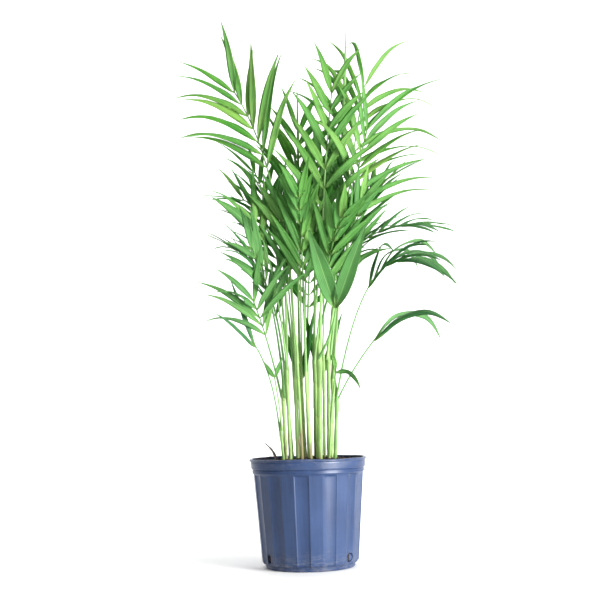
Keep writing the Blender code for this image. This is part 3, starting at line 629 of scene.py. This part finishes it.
def add_stalk(builder, line, radius, tone, around=8):
    """A tube along a smooth line, with a tone for each ring. Its foot swells where it clasps
    the cane, and its upper side is flattened into a shallow channel."""
    centre, size, at, length = smooth_rod(line, radius, len(tone))
    way = unit(np.gradient(centre, axis=0))
    side = unit(np.cross(way, np.array([0.02, 1.0, 0.13])))
    up = np.cross(side, way)
    turn = turn_round(around)
    shape = 1.0 - CHANNEL * np.clip(np.sin(turn), 0, 1) ** 3
    swell = 1 + FOOT_SWELL * np.exp(-at * length / FOOT_SWELL_LENGTH)
    size = np.maximum(size, LEAST_STALK) * swell
    ring = np.cos(turn)[None, :, None] * side[:, None] - np.sin(turn)[None, :, None] * up[:, None]
    rings = centre[:, None] + ring * (size[:, None] * shape)[..., None]
    tones = np.append(np.repeat(tone, around), tone[-1])
    add_tube(builder, rings, turn / math.tau, at * length * STEM_UV, slot=1, tone=tones,
             age=0.0, scar=0.0, under=0.0)


# %% [markdown]
# ## Tones of the fronds
# New fronds at the top are a fresh yellow green, full-grown ones in the middle deep green, and
# the oldest, which hang out at the sides, duller and cooler. So the tone follows each frond's
# height and how far it reaches out, with a little chance on top. Fronds further back are also
# painted darker, as painted shade.


# %% Dress the fronds and young leaves
STALK_ROWS = 40
STALK_SIZE = 0.92
BROAD_HALF_WIDTH = 0.013


def look_of(leaf, rng):
    """Tone rises with height, and with standing in front: fronds further back get a darker tone as
    painted shade; age rises with the reach sideways.
    """
    middle = leaf["centres"][:, 1:].reshape(-1, 3).mean(axis=0)
    reach = math.hypot(middle[0] - 0.02, middle[1] * 0.4)
    broad = leaf["halves"].max() > BROAD_HALF_WIDTH
    height = np.clip((middle[2] - 0.55) / 0.5, 0, 1)
    # painted shade: the share from middle[1] makes fronds further back darker
    tone = 0.30 + 0.34 * height - 0.25 * np.clip(middle[1] / 0.2, -0.3, 1) + rng.normal(0, 0.08)
    age = np.clip(1.25 - 1.15 * height, 0, 1) * np.clip((reach - 0.06) / 0.14, 0, 1)
    if broad:
        tone, age = 0.10, 0.30
    arching = np.clip((reach - 0.15) / 0.08, 0, 1)
    return {"tone": tone, "age": age, "cuts": 10 if broad else 4,
            "material": broad_leaf_green if broad else leaf_green,
            "pleat": 0.05 if broad else 0.0, "widen": 1 + 0.4 * arching,
            "settle": 0.15 if broad else 0.72 - 0.5 * arching}


def dress_leaf(name, leaf, seed):
    """One frond or young leaf: all its leaflets, and its stalk as a smooth tube."""
    rng = np.random.default_rng(seed)
    look = look_of(leaf, rng)
    builder = Builder()
    add_leaflets(builder, leaf, look, rng)
    at = np.linspace(0, 1, STALK_ROWS)
    tone = 0.72 - 0.5 * at ** 0.7 - 0.9 * look["age"] + rng.normal(0, 0.18)
    add_stalk(builder, leaf["line"], leaf["size"] * STALK_SIZE, tone)
    item = builder.build(f"{name}_grown", [look["material"], stalk_green])
    finish_piece(item, name)


for number, (name, leaf) in enumerate(leaves.items()):
    dress_leaf(name, leaf, number)
print("dressed leaves:", len(leaves))

# %% [markdown]
# ## Canes, shoots and spears
# A palm's cane is wrapped in leaf sheaths. Each starts at a ring scar, overlaps the one below
# and thins upwards, and the oldest ones near the soil dry to brown. A texture alone would hide
# the overlaps, so the radius itself is a saw-tooth along the cane.


# %% Read rods from their plain meshes
def rod_stations(node, count):
    """Centres and radii of a plain rod's rings, found in order along its longest direction."""
    points, _, _ = welded(node)
    axis = np.linalg.svd(points - points.mean(axis=0), full_matrices=False)[2][0]
    axis = axis * np.sign(axis[2] + 1e-9)
    rings = points[np.argsort(points @ axis)][:len(points) // count * count]
    rings = rings.reshape(count, -1, 3)
    centres = rings.mean(axis=1)
    return centres, np.linalg.norm(rings - centres[:, None], axis=2).mean(axis=1)


CANE_ROWS, CANE_SIDES = 120, 18
COLLAR_HEIGHT = 0.05
COLLAR_ROWS = 16
COLLAR_SWELL = 0.42
STALK_NEAR = 0.012
SHEATH_LENGTHS = (0.045, 0.085)
SHEATH_LEAN = 0.010
SCAR_WIDTH = 0.0016


def cane_line(name):
    """A cane's line and radii, with a collar above its top: where several stalks stand on it,
    its top sheath swells round their feet, and it always thins out between them."""
    centres, radii = rod_stations(name, 6)
    centre, size, at, length = smooth_rod(centres, radii, CANE_ROWS)
    above = np.linspace(0, COLLAR_HEIGHT, COLLAR_ROWS + 1)[1:]
    rise = unit(centre[-1] - centre[-4])
    centre = np.vstack([centre, centre[-1] + above[:, None] * rise])
    height = np.concatenate([at * length, length + above])
    past = height - length
    feet = [np.linalg.norm(leaf["line"][0] - centres[-1]) for leaf in leaves.values()]
    swollen = COLLAR_SWELL if sum(foot < STALK_NEAR for foot in feet) > 1 else 0.0
    near = np.clip(past / COLLAR_HEIGHT + 1, 0, 1)
    size = np.append(size, np.full(COLLAR_ROWS, size[-1]))
    size = size * (1 + swollen * near**2 * (3 - 2 * near))
    size = size * np.clip(1 - past / COLLAR_HEIGHT, 0.08, 1) ** 0.8
    return centre, size, height[:, None]


def grow_cane(name, seed):
    """Sheathed cane: radius times (0.93 + 0.13 (1 - u)^1.5), u the share of the way up a
    sheath. Each sheath's edge leans, so that it is higher on one side."""
    rng = np.random.default_rng(seed)
    centre, size, height = cane_line(name)
    turn = turn_round(CANE_SIDES)
    lean = SHEATH_LEAN * np.cos(turn - rng.uniform(0, math.tau))[None]
    edges = np.cumsum(rng.uniform(*SHEATH_LENGTHS, 9)) - 0.01
    past = (height + lean)[..., None] - edges
    index = (past > 0).sum(axis=-1)
    ends = np.concatenate([[0.0], edges, [edges[-1] + 0.08]])
    u = ((height + lean) - ends[index]) / (ends[index + 1] - ends[index])
    scar = np.exp(-((past / SCAR_WIDTH) ** 2)).sum(axis=-1)
    swell = 0.93 + 0.13 * (1 - np.clip(u, 0, 1)) ** 1.5
    ridge = 1 + 0.035 * np.cos(3 * turn + rng.uniform(0, 6))[None]
    radius = size[:, None] * swell * ridge
    ring = np.stack([np.cos(turn), np.sin(turn), 0 * turn], axis=-1)
    rings = centre[:, None] + ring[None] * radius[..., None]
    wear = rng.uniform(0.0, 1.0) ** 1.5
    side = 0.35 * np.cos(turn - rng.uniform(0, math.tau))[None]
    age = np.clip(1.1 * wear + 0.28 + side - height / 0.15, 0, 1)
    tone = 0.5 + rng.normal(0, 0.22) + 0.3 * (u - 0.5)
    builder = Builder()
    add_tube(builder, rings, turn / math.tau, height[:, 0] * STEM_UV, tone=np.append(tone, 0.5),
             age=np.append(age, 0.0), scar=np.append(np.clip(scar, 0, 1), 0.0))
    finish_piece(builder.build(f"{name}_sheathed", [cane_green]), name)


rods = sorted(name for name in nodes if name.startswith(("cane", "shoot")))
for number, name in enumerate(rods):
    grow_cane(name, 100 + number)
print("canes and shoots:", len(rods))


# %% [markdown]
# A spear is a new frond before it opens: its leaflets are packed together like a closed fan, so
# its section is a flattened round with fine grooves that wind slowly up it.

# %% Spears
SPEAR_ROWS, SPEAR_SIDES = 90, 28
SPEAR_SIZE = 0.82
SPEAR_FLATNESS = 0.72
SPEAR_POINT = 0.0002


def grow_spear(name):
    """Tube with radius a(s) (1 + 0.10 cos(7 (angle + 2 s))), drawn out to a fine point."""
    points, _, _ = welded(name)
    tip = int(np.argmax(points[:, 2]))
    rest = np.delete(points, tip, axis=0)
    rings = rest[np.argsort(rest[:, 2])].reshape(5, 4, 3)
    centres = np.vstack([rings.mean(axis=1), points[tip]])
    radii = np.linalg.norm(rings - centres[:5, None], axis=2).mean(axis=1)
    radii = np.append(radii, SPEAR_POINT) * SPEAR_SIZE
    centre, size, at, length = smooth_rod(centres, radii, SPEAR_ROWS)
    turn = turn_round(SPEAR_SIDES)
    groove = 1 + 0.10 * np.cos(7 * (turn[None] + 2.0 * at[:, None]))
    ring = np.stack([np.cos(turn), SPEAR_FLATNESS * np.sin(turn), 0 * turn], axis=-1)
    rings = centre[:, None] + ring[None] * (size[:, None] * groove)[..., None]
    tone = np.repeat(0.55 - 0.25 * at, SPEAR_SIDES)
    builder = Builder()
    add_tube(builder, rings, turn / math.tau, at * length * STEM_UV, tone=np.append(tone, 0.3),
             age=0.0, scar=0.0)
    finish_piece(builder.build(f"{name}_folded", [stalk_green]), name)


spears = sorted(name for name in nodes if name.startswith("spear"))
for name in spears:
    grow_spear(name)
print("spears:", len(spears))

# %% [markdown]
# ## The pot
# A grower's pot is pressed from one sheet of polyethylene: a rolled lip, a plain collar with a
# narrow band under it, and a wall of flat panels, every other one set back, which stiffen the
# thin sheet. A turned profile would lose the panels, so the radius is a function of the height
# and of the angle.

# %% Pot surface
POT_HEIGHT = 0.233
LIP_RADIUS = 0.127
WALL_TOP = 0.1185
WALL_FOOT = 0.1040
FOOT_RADIUS = 0.0960
PANELS = 24
PANEL_DEPTH = 0.0032
WALL_THICKNESS = 0.0022
FLUTE_LOW, FLUTE_HIGH = 0.0085, 0.199
BAND_DROP, COLLAR_DROP = 0.031, 0.023
FOOT_ROUND = 0.004
LIP_ROLL = 0.0026
DRAIN_RADIUS = 0.0095
DRAIN_HEIGHT = 0.0245
DRAIN_ANGLES = (-126.0, -57.0, 54.0, 123.0)
DRILL_MIDDLE, DRILL_LENGTH = 0.102, 0.03


def arc(centre_r, centre_z, radius, first, last, steps):
    """Points of a circular arc in the (radius, height) plane, angles in degrees."""
    turn = np.radians(np.linspace(first, last, steps))
    return np.stack([centre_r + radius * np.cos(turn), centre_z + radius * np.sin(turn)], axis=1)


def outer_profile():
    """Underside with its stepped foot, wall, band, collar and rolled lip."""
    high, straight = POT_HEIGHT, np.linspace
    band, collar = high - BAND_DROP, high - COLLAR_DROP
    slope = (WALL_TOP - WALL_FOOT) / (band - 0.004 - FLUTE_LOW)
    return np.vstack([
        [[0.0, 0.0009], [0.030, 0.0006], [0.0335, 0.003], [0.074, 0.003], [0.078, 0.0006]],
        straight((0.080, 0.0), (FOOT_RADIUS - FOOT_ROUND, 0.0), 3),
        arc(FOOT_RADIUS - FOOT_ROUND, FOOT_ROUND, FOOT_ROUND, -80, 0, 6),
        [[FOOT_RADIUS + 0.0008, 0.0090]],
        arc(WALL_FOOT - 0.0058, 0.0155, 0.0055, -70, -6, 6),
        straight((WALL_FOOT, 0.0175), (WALL_TOP - 0.0040 * slope, FLUTE_HIGH - 0.0040), 22),
        straight((WALL_TOP - 0.0020 * slope, FLUTE_HIGH - 0.0030), (WALL_TOP, FLUTE_HIGH), 4),
        arc(WALL_TOP + 0.0002, band + 0.0008, 0.0022, -60, 30, 5),
        straight((WALL_TOP + 0.0022, band + 0.003), (WALL_TOP + 0.0022, collar - 0.0012), 3),
        [[WALL_TOP + 0.0013, collar - 0.0006], [WALL_TOP + 0.0013, collar]],
        arc(WALL_TOP + 0.0030, collar + 0.0018, 0.0015, -80, 0, 5),
        straight((WALL_TOP + 0.0046, collar + 0.004), (WALL_TOP + 0.0056, high - 0.0066), 5),
        arc(LIP_RADIUS - LIP_ROLL, high - 0.0027, LIP_ROLL, -110, 90, 13),
    ])


def inner_profile():
    """Inside of the collar, the set-back inner wall and the floor, down to the middle."""
    high = POT_HEIGHT
    inset = PANEL_DEPTH + WALL_THICKNESS
    return np.vstack([
        arc(LIP_RADIUS - 0.0046, high - 0.0020, 0.0019, 80, 180, 5),
        [[WALL_TOP + 0.0030, high - 0.006], [WALL_TOP + 0.0012, high - 0.024]],
        np.linspace((WALL_TOP - inset, high - 0.033), (WALL_FOOT - inset, 0.017), 8),
        [[FOOT_RADIUS - 0.005, 0.0056], [0.05, 0.0055], [0.0, 0.0055]],
    ])


def panel_columns():
    """Angles of the grid's columns, close together at the panels' edges, each one's level (1 on
    a raised panel, a hollow between two of them) and its cosine from the panel's middle."""
    local = np.array([-0.5, -0.47, -0.44, -0.38, -0.28, -0.14, 0.0, 0.14, 0.28, 0.38, 0.44, 0.47])
    number = np.arange(PANELS)[:, None]
    angle = (number + 0.5 + local[None]) * math.tau / PANELS
    hollow = 0.60 * (2 * local) ** 2
    level = np.where(number % 2 == 0, 1.0 + 0 * local[None], hollow[None])
    level[:, 0] = 0.9
    flat = np.cos(local * math.tau / PANELS)
    return angle.ravel(), level.ravel(), np.tile(flat, PANELS)


def pot_surface():
    """Radius = profile - depth (1 - level) in the wall, plus what makes each panel a flat
    board. The lip sways a little."""
    outer, inner = outer_profile(), inner_profile()
    profile = np.vstack([outer, inner])
    angle, level, flat = panel_columns()
    radius, height = profile[:, :1], profile[:, 1:]
    fade = np.clip((height - FLUTE_LOW) / 0.0022, 0, 1)
    fade = fade * np.clip((FLUTE_HIGH - height) / 0.003, 0, 1)
    fade[len(outer):] = 0.0
    board = 1 / flat - 1 / math.cos(math.pi / PANELS)
    r = radius - fade * (PANEL_DEPTH * (1 - level) - radius * board)
    sway = 0.0005 * np.sin(3 * angle + 0.6) + 0.0003 * np.sin(7 * angle)
    top = np.clip((height - (POT_HEIGHT - 0.02)) / 0.02, 0, 1)
    r = r - top * (0.0006 + sway)
    z = height + top * (sway * 1.4 - 0.0011)
    return np.stack([r * np.cos(angle), r * np.sin(angle), z + 0 * r], axis=-1)


def pot_mesh(name, points):
    """Joins the grid's rings; the first and last rings lie on the axis and become poles."""
    rows, columns, _ = points.shape
    body = points[1:-1]
    poles = np.array([points[0, 0], points[-1, 0]])
    quads = ring_faces(rows - 2, columns)
    j = np.arange(columns)
    k = (j + 1) % columns
    low, last = (rows - 2) * columns, (rows - 3) * columns
    bottom = np.stack([k, j, 0 * j + low], axis=-1)
    top = np.stack([last + j, last + k, 0 * j + low + 1], axis=-1)
    builder = Builder()
    builder.add(np.concatenate([body.reshape(-1, 3), poles]), [quads, bottom, top])
    return builder.build(name)


def pierce(item, centre_angle):
    """Cuts a round drain hole through the wall and bakes the cut into the mesh."""
    turn = math.radians(centre_angle - 90)
    bm = bmesh.new()
    middle = (DRILL_MIDDLE * math.cos(turn), DRILL_MIDDLE * math.sin(turn), DRAIN_HEIGHT)
    turned = Matrix.Rotation(turn, 4, "Z") @ Matrix.Rotation(math.pi / 2, 4, "Y")
    bmesh.ops.create_cone(bm, cap_ends=True, segments=32, radius1=DRAIN_RADIUS,
                          radius2=DRAIN_RADIUS, depth=DRILL_LENGTH,
                          matrix=Matrix.Translation(middle) @ turned)
    mesh = bpy.data.meshes.new("drill")
    bm.to_mesh(mesh)
    bm.free()
    drill = bpy.data.objects.new("drill", mesh)
    scene.collection.objects.link(drill)
    cut = item.modifiers.new("cut", "BOOLEAN")
    cut.operation, cut.solver, cut.object = "DIFFERENCE", "EXACT", drill
    graph = bpy.context.evaluated_depsgraph_get()
    result = bpy.data.meshes.new_from_object(item.evaluated_get(graph))
    item.modifiers.clear()
    item.data = result
    bpy.data.objects.remove(drill)


pot = pot_mesh("pot_shell", pot_surface())
for angle in DRAIN_ANGLES:
    pierce(pot, angle)
finish_piece(pot, "pot")
print("pot faces:", len(pot.data.polygons))


# %% Flaps in the drain holes: a dark sheet as painted shade
FLAP_HINGE = 0.1012
FLAP_THICKNESS = 0.0012
FLAP_TILT = math.radians(12)


def drain_shade_flaps():
    """Half-round dark flaps in the holes, painted shade: a dark sheet where the pot's inside lies
    in shade. Each hangs on one side of its hole and
    leans inwards: the further from that side, the nearer to the axis."""
    radius = 0.86 * DRAIN_RADIUS
    edge = np.radians(np.linspace(-90, 90, 14))
    across, rise = radius * np.cos(edge), 0.9 * radius * np.sin(edge)
    turn = np.radians(np.array(DRAIN_ANGLES) - 90)[:, None, None]
    depth = FLAP_HINGE - (radius - across) * math.tan(FLAP_TILT)
    depth = depth - FLAP_THICKNESS * np.array([[1.0], [0.0]])
    x = depth * np.cos(turn) - across * np.sin(turn)
    y = depth * np.sin(turn) + across * np.cos(turn)
    rings = np.stack([x, y, DRAIN_HEIGHT + rise + 0 * x], axis=-1)
    builder = Builder()
    builder.add(*tube_batch(rings))
    return builder.build("drain_shade_flaps", flat=True)


# painted shade: the dark flaps fill the holes where the inside of the pot is in shade
flaps = drain_shade_flaps()
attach(flaps, "root")
print("flaps:", len(DRAIN_ANGLES))


# %% Pot plastic
def pot_plastic_material():
    """Satin blue-black plastic: cloudy gloss, fine lengthwise draw marks, small scuffs, and
    dried splashes towards the foot and under the lip."""
    mat = Paint("pot_plastic")
    place = mat.place()
    clouds = mat.noise(place, 14.0, 4.0)
    draw = mat.noise(place, (160.0, 160.0, 3.0), 3.0, 0.6)
    grain = mat.noise(place, 1500.0, 2.0)
    scuff = mat.noise(place, (60.0, 60.0, 190.0), 5.0, 0.7)
    height = mat.node("ShaderNodeSeparateXYZ", Vector=place).outputs["Z"]
    colour = mat.mix(mat.fit(clouds, 0.35, 0.65), (0.017, 0.035, 0.092), (0.024, 0.049, 0.124))
    marks = mat.fit(draw, 0.35, 0.70, 0.0, 0.30)
    colour = mat.mix(marks, colour, (0.038, 0.068, 0.165))
    dust = mat.add(mat.fit(height, 0.0, 0.05, 0.45, 0.0), mat.fit(height, 0.205, 0.233, 0.0, 0.30))
    dust = mat.times(dust, mat.fit(scuff, 0.45, 0.70))
    gloss = mat.add(mat.fit(clouds, 0.3, 0.7, 0.31, 0.37), mat.fit(scuff, 0.5, 0.8, 0.0, 0.12))
    mat.shade(Base_Color=mat.mix(dust, colour, (0.24, 0.23, 0.22)), Roughness=gloss,
              Specular_IOR_Level=0.34)
    mat.bump(mat.add(mat.times(grain, 0.25), draw), 0.07, 0.0006)
    return mat.material


pot_plastic = pot_plastic_material()
pot.data.materials.clear()
pot.data.materials.append(pot_plastic)
flaps.data.materials.append(pot_plastic)
print("pot material:", pot_plastic.name)


# %% [markdown]
# ## Soil, crumbs and dry pieces
# Potting mix is peat and bark: a lumpy surface with loose crumbs of many sizes. Particles could
# scatter them, but arrays keep all the small rough stones in one mesh.

# %% Soil
def lattice_noise(x, y, cell, seed):
    """Smooth value noise: random heights on a square lattice, blended between its corners."""
    rng = np.random.default_rng(seed)
    n = 64
    table = rng.uniform(-1, 1, (n, n))
    gx, gy = x / cell + n / 2, y / cell + n / 2
    ix, iy = np.floor(gx).astype(int), np.floor(gy).astype(int)
    fx, fy = gx - ix, gy - iy
    fx, fy = fx * fx * (3 - 2 * fx), fy * fy * (3 - 2 * fy)
    a, b = table[ix % n, iy % n], table[(ix + 1) % n, iy % n]
    c, d = table[ix % n, (iy + 1) % n], table[(ix + 1) % n, (iy + 1) % n]
    return (a * (1 - fx) + b * fx) * (1 - fy) + (c * (1 - fx) + d * fx) * fy


SOIL_RADIUS = WALL_TOP - 0.0056
SOIL_EDGE, SOIL_CROWN = 0.2212, 0.0085
LUMPS = ((0.0011, 0.016), (0.0008, 0.007), (0.0005, 0.003))


def soil_height(x, y):
    """A low crown with lumps of three sizes."""
    share = np.minimum(1.0, np.hypot(x, y) / SOIL_RADIUS)
    lumps = sum(size * lattice_noise(x, y, cell, seed)
                for seed, (size, cell) in enumerate(LUMPS, 1))
    return SOIL_EDGE + SOIL_CROWN * (1 - share**2) + lumps


def soil_surface(columns=150):
    """Root ball and crown as one grid, from the middle underneath to the middle on top."""
    angle = turn_round(columns)
    side = np.array([[0.0, 0.0062], [0.088, 0.0062], [WALL_FOOT - 0.0056, 0.019],
                     [SOIL_RADIUS, 0.19], [SOIL_RADIUS, 0.215]])
    lower = np.stack([side[:, :1] * np.cos(angle), side[:, :1] * np.sin(angle),
                      np.broadcast_to(side[:, 1:], (5, columns))], axis=-1)
    radius = (SOIL_RADIUS * np.linspace(1, 0, 46) ** 0.85)[:, None]
    x, y = radius * np.cos(angle), radius * np.sin(angle)
    upper = np.stack([x, y, soil_height(x, y)], axis=-1)
    upper[-1] = upper[-1, 0]
    return np.concatenate([lower, upper])


soil = pot_mesh("soil_ball", soil_surface())
finish_piece(soil, "soil")
print("soil faces:", len(soil.data.polygons))


# %% Crumbs of bark and peat
CRUMB_SIZE = 0.0014
CRUMB_LIMITS = (0.0007, 0.0036)


def scatter_crumbs(count, seed):
    """Copies of a stone with 20 faces at random places on the soil, each stretched, roughened,
    turned and half sunk."""
    rng = np.random.default_rng(seed)
    bm = bmesh.new()
    bmesh.ops.create_icosphere(bm, subdivisions=1, radius=1.0)
    shape = np.array([v.co for v in bm.verts])
    faces = np.array([[v.index for v in f.verts] for f in bm.faces])
    bm.free()
    size = rng.lognormal(math.log(CRUMB_SIZE), 0.45, (count, 1)).clip(*CRUMB_LIMITS)
    stretch = rng.uniform(0.45, 1.5, (count, 3)) * size
    rough = 1 + rng.normal(0, 0.16, (count, len(shape), 1))
    points = shape[None] * stretch[:, None] * rough
    spin = np.linalg.qr(rng.normal(size=(count, 3, 3)))[0]
    spin = spin * np.sign(np.linalg.det(spin))[:, None, None]
    points = np.einsum("nij,nkj->nki", spin, points)
    radius = (SOIL_RADIUS - 0.004) * np.sqrt(rng.uniform(0, 1, count))
    turn = rng.uniform(0, math.tau, count)
    x, y = radius * np.cos(turn), radius * np.sin(turn)
    z = soil_height(x, y) + size[:, 0] * 0.25
    points = points + np.stack([x, y, z], axis=-1)[:, None]
    builder = Builder()
    offset = (np.arange(count) * len(shape))[:, None, None]
    tone = np.repeat(rng.uniform(0, 1, count), len(shape))
    builder.add(points.reshape(-1, 3), [(faces[None] + offset).reshape(-1, 3)], tone=tone)
    return builder.build("soil_crumbs", flat=True)


crumbs = scatter_crumbs(1500, 5)
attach(crumbs, "root")
print("crumb faces:", len(crumbs.data.polygons))


# %% Soil finish
def soil_material():
    """Dark peat with brown bark and a few pale grains, rough everywhere."""
    mat = Paint("soil_mix")
    place = mat.place()
    lumps = mat.noise(place, 160.0, 5.0, 0.65)
    grains = mat.node("ShaderNodeTexVoronoi", Vector=place, Scale=420.0)
    cell = mat.node("ShaderNodeSeparateColor", Color=grains.outputs["Color"]).outputs["Red"]
    colour = mat.mix(mat.fit(lumps, 0.35, 0.65), (0.012, 0.009, 0.008), (0.055, 0.038, 0.028))
    bark = mat.fit(cell, 0.80, 0.95, 0.0, 0.7)
    pale = mat.fit(mat.number("tone"), 0.6, 1.0, 0.0, 0.6)
    colour = mat.mix(bark, colour, (0.13, 0.085, 0.055))
    colour = mat.mix(pale, colour, (0.14, 0.10, 0.075))
    mat.shade(Base_Color=colour, Roughness=0.92, Specular_IOR_Level=0.2)
    mat.bump(mat.add(lumps, grains.outputs["Distance"]), 0.9, 0.0012)
    return mat.material


soil_mix = soil_material()
soil.data.materials.append(soil_mix)
crumbs.data.materials.append(soil_mix)
print("soil material:", soil_mix.name)

# %% [markdown]
# The dry pieces, a broken leaf sheath beside the clump and two chips of bark, are strips that
# curl and taper, with a torn end.


# %% Dry sheath and bark
# node: width, thickness, curl, seed
STRIPS = {
    "dry_sheath_01": (1.1, 0.35, 1.5, 1),
    "bark_chip_01": (1.05, 0.45, 1.2, 2),
    "bark_chip_02": (1.05, 0.45, 1.2, 3),
}
DRY_UV = 30


def curl_strip(node, width, thickness, curl, seed, rows=34, half=7):
    """A strip along the plain rod: each section is an arc of a circle, closed with a thickness."""
    rng = np.random.default_rng(seed)
    centres, radii = rod_stations(node, 3)
    centre, size, at, length = smooth_rod(centres, radii * width, rows)
    size = size * (1 + 0.12 * np.sin(at * 21 + seed) + rng.normal(0, 0.04, rows))
    way = unit(np.gradient(centre, axis=0))
    side = unit(np.cross(way, np.array([0.3, 1.0, 0.2])))
    up = np.cross(side, way)
    spread = np.linspace(-curl, curl, half)
    spread = np.concatenate([spread, spread[::-1]])
    level = np.concatenate([np.ones(half), np.full(half, 1 - thickness)])
    twist = (0.7 * at)[:, None]
    across = level * np.sin(spread + twist)
    rise = level * np.cos(spread + twist) - math.cos(curl / 2)
    rings = (centre[:, None] + (size[:, None] * across)[..., None] * side[:, None]
             + (size[:, None] * rise)[..., None] * up[:, None])
    builder = Builder()
    add_tube(builder, rings, np.linspace(0, 1, 2 * half), at * length * DRY_UV)
    finish_piece(builder.build(f"{node}_curled", [dry_fibre]), node)


def dry_material():
    """Dry brown fibre: dark and light threads along the strip."""
    mat = Paint("dry_fibre")
    threads = mat.noise(mat.uv(), (26.0, 1.5, 1.0), 4.0, 0.65)
    clouds = mat.noise(mat.place(), 90.0, 3.0)
    colour = mat.mix(mat.fit(threads, 0.3, 0.7), (0.018, 0.015, 0.014), (0.085, 0.070, 0.060))
    stains = mat.fit(clouds, 0.5, 0.7, 0.0, 0.6)
    mat.shade(Base_Color=mat.mix(stains, colour, (0.03, 0.027, 0.028)),
              Roughness=mat.fit(threads, 0.3, 0.7, 0.60, 0.85))
    mat.bump(threads, 0.8, 0.0006)
    return mat.material


dry_fibre = dry_material()
for node, values in STRIPS.items():
    curl_strip(node, *values)
print("dry pieces:", len(STRIPS))
